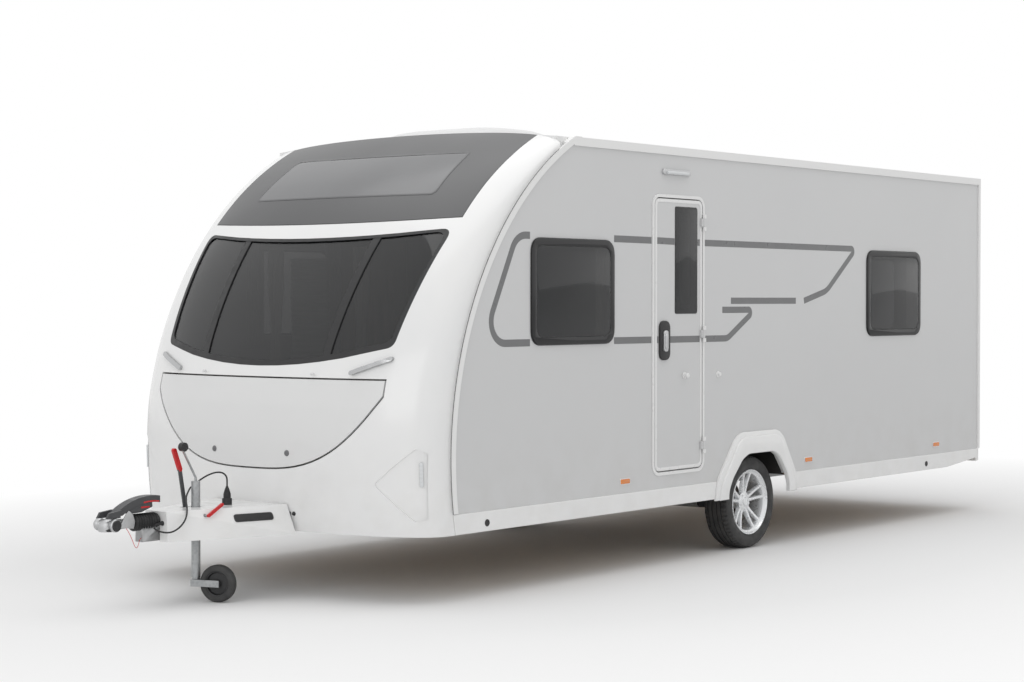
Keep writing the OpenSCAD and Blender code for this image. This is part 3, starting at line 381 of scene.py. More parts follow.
cord_mesh = bmesh.new()
tube(cord_mesh, lead_line, lead_diameter / 2)
plug = bmesh.new()
plug_profile = [
    (0, 0.5113), (0.0195, 0.5113), (0.0215, 0.5135), (0.0215, 0.5380), (0.0200, 0.5395), (0.0200, 0.5600),
    (0.0190, 0.5640),
    (0.0175, 0.5665), (0.0182, 0.5690), (0.0158, 0.5730), (0.0165, 0.5755), (0.0138, 0.5795),
    (0.0145, 0.5820),
    (0.0112, 0.5870), (0.0118, 0.5895), (0.0080, 0.5950), (0.0068, 0.6012), (0, 0.6012),
]
turned(plug, plug_profile, Matrix.Translation((0.045, -3.020, 0)), steps=40)
plug_piece = add_piece("road_plug_body", plug, black_rubber, node="road_plug", angle=40)
gland = bmesh.new()
gland_profile = [
    (0.0047, -0.002), (0.0125, -0.002), (0.0125, 0.003), (0.0105, 0.005), (0.0098, 0.010), (0.0088, 0.011),
    (0.0088, 0.014),
    (0.0080, 0.015), (0.0080, 0.019), (0.0070, 0.020), (0.0064, 0.028), (0.0047, 0.030), (0.0047, -0.002),
]
out_of_cover = Matrix(((1, 0, 0, 0), (0, 0, -1, 0), (0, 1, 0, 0), (0, 0, 0, 1)))
turned(gland, gland_profile, Matrix.Translation((0.052, -3.4853, 0.442)) @ out_of_cover, steps=32)
gland_piece = add_piece("lead_gland", gland, black_rubber, angle=40)
road_lead = add_piece("road_lead_run", cord_mesh, black_rubber, node="road_lead", angle=180)
run_length(lead_line)
cord_mesh = bmesh.new()
tube(cord_mesh, cable_line, cable_diameter / 2, sides=8)
breakaway = add_piece("breakaway_run", cord_mesh, red_sleeve, node="breakaway_cable", angle=180)
run_length(cable_line)

# ---- Smooth front moulding ------------------------------------------------------------------
# One large moulding in white gelcoat wraps the front from wall to wall. It is laid up in a
# mould, trimmed round the window, the roof glass and the locker, and bonded to the walls.

half_width = 1.125
nose_centre_y, nose_centre_z, nose_radius = -0.437, 0.750, 2.0
nose_end_y = -1.477
nose_low_z = 0.357
crown_angles = [-20, 7, 15, 25, 35, 45, 53, 62]
crown_depths = [0.376, 0.376, 0.345, 0.290, 0.240, 0.190, 0.145, 0.100]


def nose_point(turn, rise, depth):
    """A point on the nose: turn across it from wall to wall, rise up it, depth into it."""
    crown = float(np.interp(math.degrees(rise), crown_angles, crown_depths))
    reach = nose_radius + (crown - depth) * max(math.cos(turn), 0.0) ** 0.7
    return Vector(
        (
            half_width * math.sin(turn),
            nose_centre_y - reach * math.cos(rise),
            nose_centre_z + reach * math.sin(rise),
        )
    )


def nose_rise(x, z):
    """The angle up the nose at which it passes a height."""
    turn = math.asin(max(-1.0, min(1.0, x / half_width)))
    rise = 0.3
    for _ in range(12):
        reach = nose_radius + float(np.interp(math.degrees(rise), crown_angles, crown_depths)) * (
            max(math.cos(turn), 0.0) ** 0.7
        )
        rise = math.asin(max(-1.0, min(1.0, (z - nose_centre_z) / reach)))
    return rise


def nose_shell(outer, inner, columns=120, rows=100, across=(-90, 90), up=(-13.5, 64)):
    """A slice of the nose's thickness, as a closed shell between two depths."""
    bm = bmesh.new()
    layers = []
    for depth in (outer, inner):
        grid = bmesh.ops.create_grid(bm, x_segments=columns, y_segments=rows, size=0.5)["verts"]
        for v in grid:
            turn = math.radians(across[0] + (v.co.x + 0.5) * (across[1] - across[0]))
            rise = math.radians(up[0] + (v.co.y + 0.5) * (up[1] - up[0]))
            spot = nose_point(turn, rise, max(depth, 0.0))
            if depth < 0:
                ahead = nose_point(turn, rise, 0.0) - nose_point(turn, rise, 0.02)
                spot += ahead.normalized() * -depth
            spot.x *= 1 - max(depth, 0.0) / half_width * abs(math.sin(turn)) ** 3
            v.co = spot
        edges = {e for v in grid for e in v.link_edges if e.is_boundary}
        layers.append(list(edges))
    bmesh.ops.bridge_loops(bm, edges=layers[0] + layers[1])
    bmesh.ops.recalc_face_normals(bm, faces=bm.faces)
    return bm


def outline(corners, segments=8):
    """A flat outline whose corners (u, v, radius) are rounded."""
    points = []
    count = len(corners)
    for i, (u, v, radius) in enumerate(corners):
        here = Vector((u, v))
        back = Vector(corners[i - 1][:2]) - here
        on = Vector(corners[(i + 1) % count][:2]) - here
        if radius <= 0:
            points.append(here)
            continue
        half = back.angle(on) / 2
        run = min(radius / math.tan(half), 0.49 * back.length, 0.49 * on.length)
        start, end = here + back.normalized() * run, here + on.normalized() * run
        for k in range(segments + 1):
            t = k / segments
            points.append((1 - t) ** 2 * start + 2 * t * (1 - t) * here + t * t * end)
    return points


def eased(bm, edges, width, segments=3):
    """Rounds the given edges of a bmesh."""
    bmesh.ops.bevel(
        bm, geom=edges, offset=width, offset_type="OFFSET", affect="EDGES", segments=segments, profile=0.5,
        material=-1
    )


axis_frames = {
    "X": Matrix(((0, 0, 1, 0), (1, 0, 0, 0), (0, 1, 0, 0), (0, 0, 0, 1))),
    "Y": Matrix(((1, 0, 0, 0), (0, 0, 1, 0), (0, 1, 0, 0), (0, 0, 0, 1))),
    "Z": Matrix.Identity(4),
}


def prism(points, low, high, axis="Y"):
    """Extrudes a flat outline into a solid along an axis."""
    bm = bmesh.new()
    ring = [bm.verts.new((p[0], p[1], low)) for p in points]
    face = bm.faces.new(ring)
    sweep = bmesh.ops.extrude_face_region(bm, geom=[face])["geom"]
    bmesh.ops.translate(
        bm, vec=(0, 0, high - low), verts=[g for g in sweep if isinstance(g, bmesh.types.BMVert)]
    )
    bmesh.ops.transform(bm, matrix=axis_frames[axis], verts=bm.verts)
    bmesh.ops.recalc_face_normals(bm, faces=bm.faces)
    return bm


def block(u0, u1, v0, v1, low, high, axis="Y"):
    """A plain box between two values on each axis."""
    return prism([(u0, v0), (u1, v0), (u1, v1), (u0, v1)], low, high, axis)


def on_side(side, low, high):
    """A span of x, mirrored for the other side."""
    return (low, high) if side > 0 else (-high, -low)


cut_front, cut_back = -3.2, -1.0


def core(points, back=cut_back):
    """A flat outline carried right through the nose."""
    return prism(points, cut_front, back)


def trimmed(bm, tools):
    """Cuts one bmesh with others and gives back the result."""
    data = bpy.data.meshes.new("blank")
    bm.to_mesh(data)
    bm.free()
    blank = bpy.data.objects.new("blank", data)
    scene.collection.objects.link(blank)
    made = []
    for kind, tool in tools:
        tool_data = bpy.data.meshes.new("tool")
        tool.to_mesh(tool_data)
        tool.free()
        holder = bpy.data.objects.new("tool", tool_data)
        scene.collection.objects.link(holder)
        cut = blank.modifiers.new("cut", "BOOLEAN")
        cut.operation = kind
        cut.solver = "EXACT"
        cut.object = holder
        made.append(holder)
    graph = bpy.context.evaluated_depsgraph_get()
    result = bmesh.new()
    result.from_object(blank, graph)
    for each in (blank, *made):
        bpy.data.objects.remove(each)
    bmesh.ops.remove_doubles(result, verts=result.verts, dist=0.00002)
    return result


glass_foot, glass_head = 0.868, 0.945
glass_top, glass_low = 1.945, 1.247


def window_outline(grow=0.0, left=-1.0, right=1.0, corner=0.055):
    """The front window's outline between two shares of its half width."""
    foot, head = glass_foot + grow, glass_head + grow
    top = [
        (s * head, glass_top + grow + 0.045 * s * s, 0)
        for s in np.linspace(right, left, 13)
    ]
    low = [
        (s * foot, glass_low - grow + 0.110 * abs(s) ** 2, 0)
        for s in np.linspace(left, right, 13)
    ]
    corners = [list(p) for p in top + low]
    for i in (0, 12, 13, 25):
        corners[i][2] = corner
    if corner:
        for i in (24, 14, 11, 1):
            del corners[i]
    return outline(corners, segments=6)


lid_top, lid_half, lid_deep, lid_end = 1.186, 0.872, 0.684, 1.090


def lid_outline(shrink=0.0):
    """The locker lid: straight on top, a deep round curve below."""
    turns = np.linspace(-math.pi / 2, math.pi / 2, 41)
    half = lid_half - shrink
    low = [
        (half * math.sin(t), lid_deep + shrink + (lid_end - lid_deep) * abs(math.sin(t)) ** 3.2)
        for t in turns
    ]
    return [Vector(p) for p in low] + [Vector((half, lid_top - shrink)), Vector((-half, lid_top - shrink))]


roof_foot, roof_foot_side, roof_half = 2.03, 2.052, 0.961


def roof_glass_outline(grow=0.0):
    """The dark panel above the brow, up to the roof."""
    half = roof_half + grow
    low = [
        (s * half, roof_foot - grow + (roof_foot_side - roof_foot) * s * s) for s in np.linspace(-1, 1, 13)
    ]
    return [Vector(p) for p in low] + [Vector((half, 2.75)), Vector((-half, 2.75))]


inlet_tip, inlet_top, inlet_low = (0.833, 0.633), (1.045, 0.824), (1.032, 0.44)


def inlet_outline(side):
    """The low wedge recess beside the locker, on one side."""
    corners = [
        (*inlet_tip, 0.02), (*inlet_low, 0.015), (1.085, 0.45, 0.02), (1.092, 0.80, 0.02),
        (*inlet_top, 0.012)
    ]
    return [Vector((side * p.x, p.y)) for p in outline(corners, segments=5)]


gel_white = Finish(
    "gel_white_gelcoat", Base_Color=(0.82, 0.82, 0.815, 1), Roughness=0.25, Coat_Weight=0.2,
    Coat_Roughness=0.06
)
dust = gel_white.fade(gel_white.noise(2.2, detail=5), 0.35, 0.75)
low_dirt = gel_white.fade(gel_white.axis(2), 0.85, 0.25) * gel_white.fade(
    gel_white.noise(9, detail=6), 0.4, 0.7
)
gel_white.vary(
    "Base Color",
    gel_white.blend(
        low_dirt * 0.35,
        gel_white.blend(dust, (0.83, 0.83, 0.825, 1), (0.795, 0.798, 0.80, 1)),
        (0.70, 0.69, 0.665, 1),
    ),
)
gel_white.worn(0.15, 0.27, 14, detail=4)
gel_white.grain(0.08, 0.004, 1.6, detail=1)

shell = nose_shell(0.0, 0.025, 150, 130)
cutters = [
    ("DIFFERENCE", core(window_outline(0.004))),
    ("DIFFERENCE", core(lid_outline())),
    ("DIFFERENCE", core(roof_glass_outline(0.001))),
    ("DIFFERENCE", block(-0.293, 0.293, 0.2, 0.462, cut_front, -1.9)),
    ("DIFFERENCE", block(-1.3, 1.3, 0.0, nose_low_z, cut_front, cut_back)),
    ("DIFFERENCE", block(-1.3, 1.3, 1.9, 2.9, nose_end_y, 0.0)),
]
for side in (-1, 1):
    dent = trimmed(
        nose_shell(
            -0.02, 0.010, 40, 40, across=(side * 78 - 40, side * 78 + 12) if side > 0 else (-90, -38),
            up=(-13.5, 12)
        ),
        [("INTERSECT", core(inlet_outline(side)))],
    )
    cutters.append(("DIFFERENCE", dent))
nose = add_piece("nose_moulding", trimmed(shell, cutters), gel_white, node="front_moulding")

# ---- Front window ---------------------------------------------------------------------------
# Three smoked acrylic panes follow the curve of the nose. Black bars cover the joints between
# them, and a black rubber gasket holds them all round, widest along the foot.

smoked = Finish(
    "smoked_acrylic", Base_Color=(0.012, 0.013, 0.014, 1), Roughness=0.04, Alpha=0.66, Coat_Weight=0.4
)
smoked.worn(0.03, 0.10, 6, detail=5, span=(0.35, 0.75))
smoked.mottle((0.010, 0.011, 0.012, 1), (0.020, 0.021, 0.023, 1), 3.5)
black_trim = Finish("black_trim_rubber", Base_Color=(0.016, 0.016, 0.017, 1), Roughness=0.42)
black_trim.worn(0.34, 0.55, 24, detail=4)
black_trim.grain(0.2, 0.0003, 600, detail=2)

bar_share, bar_half = 0.535, 0.025


def bar_outline(side):
    foot, head = side * bar_share * glass_foot, side * bar_share * glass_head
    return [
        Vector(p)
        for p in (
            (foot - bar_half, glass_low - 0.05),
            (foot + bar_half, glass_low - 0.05),
            (head + bar_half, glass_top + 0.06),
            (head - bar_half, glass_top + 0.06),
        )
    ]


window_up = (8, 44)
glass = trimmed(
    nose_shell(0.010, 0.016, 80, 60, up=window_up), [("INTERSECT", core(window_outline(-0.002)))]
)
add_piece("front_glass", glass, smoked, node="front_window_panes")
gasket = trimmed(
    nose_shell(0.001, 0.019, 110, 70, up=window_up),
    [
        ("INTERSECT", core(window_outline(0.0035))),
        ("DIFFERENCE", core([p + Vector((0, 0.006)) for p in window_outline(-0.020)])),
    ],
)
add_piece("front_gasket", gasket, black_trim)
bars = bmesh.new()
for side in (-1, 1):
    bar = trimmed(
        nose_shell(0.003, 0.018, 60, 40, across=(side * 34 - 14, side * 34 + 14), up=window_up),
        [
            ("INTERSECT", core(bar_outline(side))),
            ("INTERSECT", core(window_outline(-0.002))),
        ],
    )
    join(bars, bar)
front_bars = add_piece("front_bars", bars, black_trim)

# ---- Roof glass -----------------------------------------------------------------------------
# Above the white brow a grey moulded panel runs up to the roof, bonded in with black sealant.
# A lighter glass in its middle lets daylight into the lounge.

panel_grey = Finish("satin_grey_panel", Base_Color=(0.085, 0.086, 0.088, 1), Roughness=0.38)
panel_grey.mottle((0.078, 0.079, 0.082, 1), (0.092, 0.093, 0.095, 1), 1.5, detail=2)
panel_grey.worn(0.35, 0.42, 1.8, detail=1)
sky_glass = Finish("sky_glass", Base_Color=(0.15, 0.152, 0.156, 1), Roughness=0.2)
sky_glass.mottle((0.135, 0.137, 0.141, 1), (0.17, 0.172, 0.177, 1), 1.8, detail=2)
sky_glass.worn(0.16, 0.24, 2, detail=1, span=(0.35, 0.75))

roof_up = (32, 64)
panel = trimmed(
    nose_shell(0.0008, 0.020, 110, 60, up=roof_up),
    [
        ("INTERSECT", core(roof_glass_outline(-0.004))),
        ("DIFFERENCE", block(-1.3, 1.3, 1.7, 2.9, nose_end_y, 0.0)),
    ],
)
add_piece("roof_grey_panel", panel, panel_grey, node="roof_window")
seal = trimmed(
    nose_shell(0.001, 0.019, 110, 60, up=roof_up),
    [
        ("INTERSECT", core(roof_glass_outline(0.0005))),
        ("DIFFERENCE", core(roof_glass_outline(-0.008))),
        ("DIFFERENCE", block(-1.3, 1.3, 1.7, 2.9, nose_end_y, 0.0)),
    ],
)
add_piece("roof_panel_seal", seal, black_trim)
sky_corners = [(0.701, 2.187, 0.03), (0.681, 2.445, 0.03), (-0.681, 2.445, 0.03), (-0.701, 2.187, 0.03)]
sky_edge = outline(sky_corners)
sky_inner = outline([(u * 0.985, v + (0.008 if v < 2.3 else -0.008), r) for u, v, r in sky_corners])
sky_seal = trimmed(
    nose_shell(-0.0006, 0.008, 90, 50, across=(-42, 42), up=roof_up),
    [("INTERSECT", core(sky_edge, -1.5)), ("DIFFERENCE", core(sky_inner, -1.5))],
)
add_piece("sky_glass_seal", sky_seal, panel_grey)
sky = trimmed(
    nose_shell(0.0002, 0.008, 90, 50, across=(-42, 42), up=roof_up), [("INTERSECT", core(sky_inner, -1.5))]
)
add_piece("sky_glass", sky, sky_glass)

# ---- Front locker ---------------------------------------------------------------------------
# The gas locker's lid is a curved moulding in pale grey gelcoat, hung from two hinges along its
# top. It has two quarter-turn locks, and a chromed grab handle stands at each top corner.

locker_grey = Finish(
    "locker_grey_gelcoat", Base_Color=(0.725, 0.727, 0.725, 1), Roughness=0.22, Coat_Weight=0.35
)
locker_grey.mottle((0.715, 0.718, 0.717, 1), (0.735, 0.737, 0.735, 1), 2.6, detail=5)
locker_grey.worn(0.20, 0.26, 2.5, detail=2)
locker_grey.grain(0.06, 0.003, 1.4, detail=0)
chrome = Finish("chromed_zinc", Base_Color=(0.46, 0.465, 0.47, 1), Roughness=0.12, Metallic=1.0)
chrome.worn(0.1, 0.24, 40, detail=4, span=(0.3, 0.75))
grey_plastic = Finish("grey_plastic", Base_Color=(0.16, 0.16, 0.165, 1), Roughness=0.5)
grey_plastic.grain(0.2, 0.0003, 500, detail=2)
grey_plastic.worn(0.42, 0.58, 30)

lid = trimmed(
    nose_shell(0.0, 0.018, 110, 60, up=(-8, 16)), [("INTERSECT", core(lid_outline(0.009), -1.8))]
)
lid_axis_y, lid_axis_z = -2.7506, 1.206
for side in (-1, 1):
    knuckle = [Vector((side * 0.42 + step * 0.010, lid_axis_y, lid_axis_z)) for step in (-1, -0.3, 0.3, 1)]
    pin = bmesh.new()
    tube(pin, knuckle, 0.0068, sides=20)
    join(lid, pin)
add_piece("locker_lid", lid, locker_grey, body="locker_lid", node="locker_door")


def on_nose(x, z, depth=0.0):
    """The place on the nose at a height, and the frame there: across, up and outwards."""
    turn, rise = math.asin(x / half_width), nose_rise(x, z)
    spot = nose_point(turn, rise, max(depth, 0.0))
    across = (nose_point(turn + 0.01, rise, 0) - nose_point(turn - 0.01, rise, 0)).normalized()
    up = (nose_point(turn, rise + 0.01, 0) - nose_point(turn, rise - 0.01, 0)).normalized()
    out = across.cross(up).normalized()
    if depth < 0:
        spot += out * -depth
    up = out.cross(across)
    return Matrix.Translation(spot) @ Matrix((across, up, out)).transposed().to_4x4()


locks = bmesh.new()
lock_profile = [
    (0, 0.006), (0.010, 0.006), (0.0115, 0.0045), (0.013, 0.0045), (0.0155, 0.0035), (0.0165, 0.001),
    (0.0165, -0.004), (0, -0.004)
]
for side in (-1, 1):
    turned(locks, lock_profile, on_nose(side * 0.281, 0.778), steps=32)
    key_bar = block(-0.007, 0.007, -0.0015, 0.0015, 0.0, 0.003, "Z")
    eased(key_bar, key_bar.edges, 0.0005, segments=2)
    bmesh.ops.transform(
        key_bar, matrix=on_nose(side * 0.281, 0.778) @ Matrix.Translation((0, 0, 0.0055)),
        verts=key_bar.verts
    )
    join(locks, key_bar)
add_piece("locker_locks", locks, grey_plastic, body="locker_lid")


def refined(name, node, finish, edge=0.002, segments=3, angle=32):
    """A copy of a CAD piece with its faces cleaned and its edges eased."""
    bm = bmesh.new()
    bm.from_mesh(nodes[node].data)
    bmesh.ops.remove_doubles(bm, verts=bm.verts, dist=0.00003)
    bmesh.ops.dissolve_limit(
        bm, angle_limit=math.radians(0.6), use_dissolve_boundaries=False, verts=bm.verts, edges=bm.edges,
        delimit={"NORMAL"}
    )
    piece = add_piece(name, bm, finish, body=body_of(nodes[node])[0], angle=angle)
    if edge:
        ease = piece.modifiers.new("eased edges", "BEVEL")
        ease.width = edge
        ease.segments = segments
        ease.limit_method = "ANGLE"
        ease.angle_limit = math.radians(angle)
        ease.use_clamp_overlap = True
        ease.harden_normals = True
    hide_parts(node)
    return piece


refined("grab_handles", "grab_handles", chrome, 0.004)
bulkhead_white = Finish("bulkhead_white", Base_Color=(0.72, 0.72, 0.71, 1), Roughness=0.55)
bulkhead_white.grain(0.3, 0.0008, 180, detail=3)
bulkhead_white.worn(0.45, 0.65, 12)
refined("locker_bulkhead", "locker_bulkhead", bulkhead_white, 0)

# ---- Side walls and stripes -----------------------------------------------------------------
# The walls are bonded sandwich panels with a smooth grey GRP skin. Mid-grey vinyl stripes are
# stuck on them: a loop round the lounge window, and two lines that cross the door.

wall_skin = Finish(
    "grey_wall_skin", Base_Color=(0.61, 0.612, 0.614, 1), Roughness=0.32, Coat_Weight=0.2,
    Coat_Roughness=0.12
)
splash = wall_skin.fade(wall_skin.axis(2), 0.95, 0.45) * wall_skin.fade(
    wall_skin.noise(6, detail=6), 0.4, 0.75
)
wall_skin.vary(
    "Base Color",
    wall_skin.blend(
        splash * 0.3,
        wall_skin.blend(wall_skin.noise(1.2, detail=4), (0.600, 0.603, 0.607, 1), (0.625, 0.627, 0.628, 1)),
        (0.52, 0.51, 0.49, 1),
    ),
)
wall_skin.worn(0.30, 0.36, 3, detail=2)
wall_skin.grain(0.08, 0.004, 1.1, detail=1)
stripe_vinyl = Finish("stripe_vinyl", Base_Color=(0.165, 0.167, 0.17, 1), Roughness=0.32)
stripe_vinyl.mottle((0.155, 0.157, 0.16, 1), (0.178, 0.18, 0.183, 1), 9, detail=4)
stripe_vinyl.worn(0.27, 0.38, 20)
for wall in ("side_wall_left", "side_wall_right"):
    nodes[wall].data.materials[0] = wall_skin.material

stripe_wide = 0.040
vinyl_thick = 0.0006


def stripe(bm, corners, face):
    """A flat band along a line of (y, z, radius), stuck on a face of the wall."""
    half = stripe_wide / 2
    pairs = []
    for i, (y, z, radius) in enumerate(corners):
        here = Vector((y, z))
        back = (here - Vector(corners[i - 1][:2])).normalized() if i else None
        on = (Vector(corners[i + 1][:2]) - here).normalized() if i + 1 < len(corners) else None
        if back is None or on is None:
            ahead = on or back
            pairs.append(
                (here + Vector((-ahead.y, ahead.x)) * half, here - Vector((-ahead.y, ahead.x)) * half)
            )
            continue
        turn = math.atan2(back.x * on.y - back.y * on.x, back.dot(on))
        hand = 1 if turn > 0 else -1
        bend = max(radius, half)
        inward = Vector((-back.y, back.x)) * hand
        centre = here - back * bend * math.tan(abs(turn) / 2) + inward * bend
        for k in range(13):
            angle = abs(turn) * k / 12
            out = (back * math.sin(angle) - inward * math.cos(angle))
            outer, inner = centre + out * (bend + half), centre + out * (bend - half)
            pairs.append((inner, outer) if hand > 0 else (outer, inner))
    ends = [bm.verts.new((face, *p)) for p in pairs[0]]
    edge = bm.edges.new(ends)
    for pair in pairs[1:]:
        swept = bmesh.ops.extrude_edge_only(bm, edges=[edge])["geom"]
        new = [g for g in swept if isinstance(g, bmesh.types.BMVert)]
        edge = next(g for g in swept if isinstance(g, bmesh.types.BMEdge) and set(g.verts) == set(new))
        if (new[0].co - ends[0].co).length > (new[1].co - ends[0].co).length:
            new.reverse()
        for v, spot in zip(new, pair):
            v.co = (face, *spot)
        ends = new


def stripes_piece(name, runs, face, body):
    bm = bmesh.new()
    for run in runs:
        stripe(bm, run, face)
    bmesh.ops.remove_doubles(bm, verts=bm.verts, dist=0.00001)
    bm.normal_update()
    bmesh.ops.reverse_faces(bm, faces=[f for f in bm.faces if f.normal.x * face < 0])
    bmesh.ops.solidify(bm, geom=bm.faces, thickness=vinyl_thick + 0.0003)
    bmesh.ops.recalc_face_normals(bm, faces=bm.faces)
    add_piece(name, bm, stripe_vinyl, body, angle=1)


window_loop = [(-1.757, 1.960, 0), (-1.875, 1.960, 0.13), (-2.170, 1.367, 0.12), (-1.757, 1.367, 0)]
upper_line = [(-0.004, 1.956, 0), (1.900, 1.956, 0.02), (1.50, 1.665, 0.25), (1.20, 1.598, 0)]
middle_line = [(1.095, 1.598, 0), (0.30, 1.598, 0)]
lower_hook = [(-0.004, 1.362, 0), (0.26, 1.362, 0.12), (0.59, 1.541, 0.015), (0.20, 1.541, 0)]
stripes_piece(
    "stripes_entrance_side",
    [
        window_loop, [(-0.962, 1.960, 0), (-0.580, 1.959, 0)], [(-0.962, 1.366, 0), (-0.580, 1.365, 0)],
        upper_line, middle_line, lower_hook,
    ],
    half_width + vinyl_thick, "caravan",
)
stripes_piece(
    "stripes_far_side",
    [
        window_loop, [(-0.962, 1.960, 0), (-0.275, 1.958, 0)], [(0.534, 1.956, 0), *upper_line[1:]],
        [(-0.962, 1.366, 0), (-0.275, 1.366, 0)],
    ],
    -half_width - vinyl_thick, "caravan",
)
door_face = half_width + 0.003
stripes_piece(
    "stripes_on_door",
    [
        [(-0.524, 1.959, 0), (-0.340, 1.957, 0)], [(-0.088, 1.957, 0), (-0.063, 1.956, 0)],
        [(-0.524, 1.365, 0), (-0.512, 1.365, 0)], [(-0.394, 1.364, 0), (-0.063, 1.363, 0)]
    ],
    door_face + 0.0008, "door",
)

# ---- Side and rear windows ------------------------------------------------------------------
# Double-glazed acrylic windows hinge out at the top. Each has a black painted border over its
# frame, rounded corners and a domed outer pane, and the room shows dimly through its middle.

window_size = {"lounge": (-1.753, -0.966), "rear": (2.047, 2.846), "middle": (-0.270, 0.529)}
window_low, window_high = 1.349, 1.951
window_corner = 0.09
on_wall = half_width + 0.0003


def ring_plate(bm, outer, inner, low, high, axis, rim):
    """A plate with an eased rim, and a hole if it has an inner outline."""
    slab = prism(outer, low, high, axis)
    if inner:
        slab = trimmed(slab, [("DIFFERENCE", prism(inner, low - 0.01, high + 0.01, axis))])
    index = {"X": 0, "Y": 1, "Z": 2}[axis]
    top = max((v.co[index] for v in slab.verts), key=abs)
    sharp = [
        e
        for e in slab.edges
        if e.is_manifold
        and e.calc_face_angle(0) > 0.6
        and all(abs(v.co[index] - top) < 1e-5 for v in e.verts)
    ]
    if rim:
        eased(slab, sharp, rim)
    bmesh.ops.recalc_face_normals(slab, faces=slab.faces)
    join(bm, slab)


def plate(*shape):
    """One plate as a bmesh of its own."""
    bm = bmesh.new()
    ring_plate(bm, *shape)
    return bm


def rectangle(u0, u1, v0, v1, radius):
    return outline([(u0, v0, radius), (u1, v0, radius), (u1, v1, radius), (u0, v1, radius)], segments=10)


def window_span(y0, y1, inset):
    """A window's outline, drawn in by an inset."""
    return rectangle(
        y0 + inset, y1 - inset, window_low + inset, window_high - inset, window_corner - inset * 0.5
    )


frames, panes, borders = bmesh.new(), bmesh.new(), bmesh.new()
for side, which in ((1, "lounge"), (1, "rear"), (-1, "lounge"), (-1, "rear"), (-1, "middle")):
    y0, y1 = window_size[which]
    spans = [
        window_span(y0, y1, g) for g in (0.0, 0.003, 0.045, 0.0453)
    ]
    low, high = on_side(side, on_wall, half_width + 0.0058)
    ring_plate(frames, spans[0], spans[2], low, high, "X", 0.0012)
    low, high = on_side(side, half_width + 0.0060, half_width + 0.0115)
    ring_plate(borders, spans[1], spans[2], low, high, "X", 0.003)
    inset = (0.0004, 0.0008) if side > 0 else (0.0008, 0.0004)
    ring_plate(panes, spans[3], None, low + inset[0], high - inset[1], "X", 0.001)
rear_face = 3.8203
add_piece("side_window_frames", frames, black_trim, node="window_frames")
painted_border = Finish("painted_window_border", Base_Color=(0.008, 0.008, 0.009, 1), Roughness=0.12)
painted_border.worn(0.09, 0.16, 5)
add_piece("side_window_borders", borders, painted_border)
add_piece("side_window_panes", panes, smoked, node="side_windows")
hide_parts("window_frames")
add_piece(
    "rear_window_pane", plate(window_span(-0.450, 0.450, 0.0), None, rear_face, 3.832, "Y", 0.004), smoked,
    node="rear_window"
)

# ---- Entrance door --------------------------------------------------------------------------
# A one-piece door leaf in the wall's grey hangs from three hinges at its rear edge. It has a
# white edge trim, a tall smoked pane with a blind behind it, and a black handle with a lever.

white_trim = Finish("white_trim", Base_Color=(0.80, 0.80, 0.795, 1), Roughness=0.3)
white_trim.worn(0.25, 0.38, 22, detail=4)
white_trim.mottle((0.775, 0.776, 0.772, 1), (0.81, 0.81, 0.806, 1), 4, detail=5)
white_trim.grain(0.1, 0.0002, 500, detail=2)
refined("door_leaf", "entrance_door", wall_skin, 0.0015)
refined("door_surround", "door_frame", white_trim, 0.003)
door_y, door_z = (-0.549, -0.036), (0.572, 2.214)
add_piece(
    "door_edge_trim",
    plate(
        rectangle(door_y[0] + 0.003, door_y[1] - 0.003, door_z[0] + 0.003, door_z[1] - 0.003, 0.042),
        rectangle(door_y[0] + 0.022, door_y[1] - 0.022, door_z[0] + 0.022, door_z[1] - 0.022, 0.028),
        door_face + 0.0002, door_face + 0.0020, "X", 0.0008
    ),
    white_trim, body="door"
)
add_piece(
    "door_pane", plate(rectangle(-0.336, -0.092, 1.519, 2.170, 0.02), None, 1.1215, 1.1320, "X", 0.003),
    smoked, body="door", node="door_window"
)
blind_cloth = Finish("blind_cloth", Base_Color=(0.33, 0.33, 0.32, 1), Roughness=0.85, Sheen_Weight=0.2)
pleats = blind_cloth.bands("Z", 32.0)
blind_cloth.bump(pleats, 0.6, 0.004)
blind_cloth.mottle((0.30, 0.30, 0.29, 1), (0.37, 0.37, 0.36, 1), 40)
add_piece(
    "door_blind", plate(rectangle(-0.270, -0.158, 1.560, 2.130, 0.002), None, 1.1150, 1.1180, "X", 0.001),
    blind_cloth, body="door"
)
add_piece(
    "door_blind_cassette",
    plate(
        rectangle(-0.3355, -0.0925, 1.5195, 2.1695, 0.02), rectangle(-0.276, -0.152, 1.554, 2.136, 0.004),
        1.1155, 1.1210, "X", 0.0005
    ),
    black_trim, body="door"
)

handle_y, handle_z = (-0.508, -0.398), (1.240, 1.478)
add_piece(
    "door_handle_plate",
    plate(rectangle(*handle_y, *handle_z, 0.05), None, door_face + 0.0003, door_face + 0.013, "X", 0.006),
    black_trim, body="door", node="door_handle"
)
lever = bmesh.new()
ring_plate(
    lever, rectangle(-0.476, -0.432, 1.292, 1.420, 0.018), None, door_face + 0.0132, door_face + 0.022, "X",
    0.004
)
ring_plate(
    lever, rectangle(-0.468, -0.440, 1.306, 1.400, 0.012), None, door_face + 0.0221, door_face + 0.029, "X",
    0.005
)
satin_silver = Finish("satin_silver", Base_Color=(0.55, 0.555, 0.56, 1), Roughness=0.32, Metallic=0.9)
satin_silver.worn(0.26, 0.4, 50, stretch=(1, 1, 0.1))
add_piece("door_handle_lever", lever, satin_silver, body="door")
knob = bmesh.new()
across_x = axis_frames["X"]
knob_profile = [
    (0, 0.033), (0.012, 0.033), (0.0165, 0.029), (0.0165, 0.018), (0.011, 0.014), (0.011, 0.006),
    (0.021, 0.005), (0.022, 0.001), (0, 0.001)
]
turned(knob, knob_profile, Matrix.Translation((door_face, -0.232, 1.143)) @ across_x, steps=36)
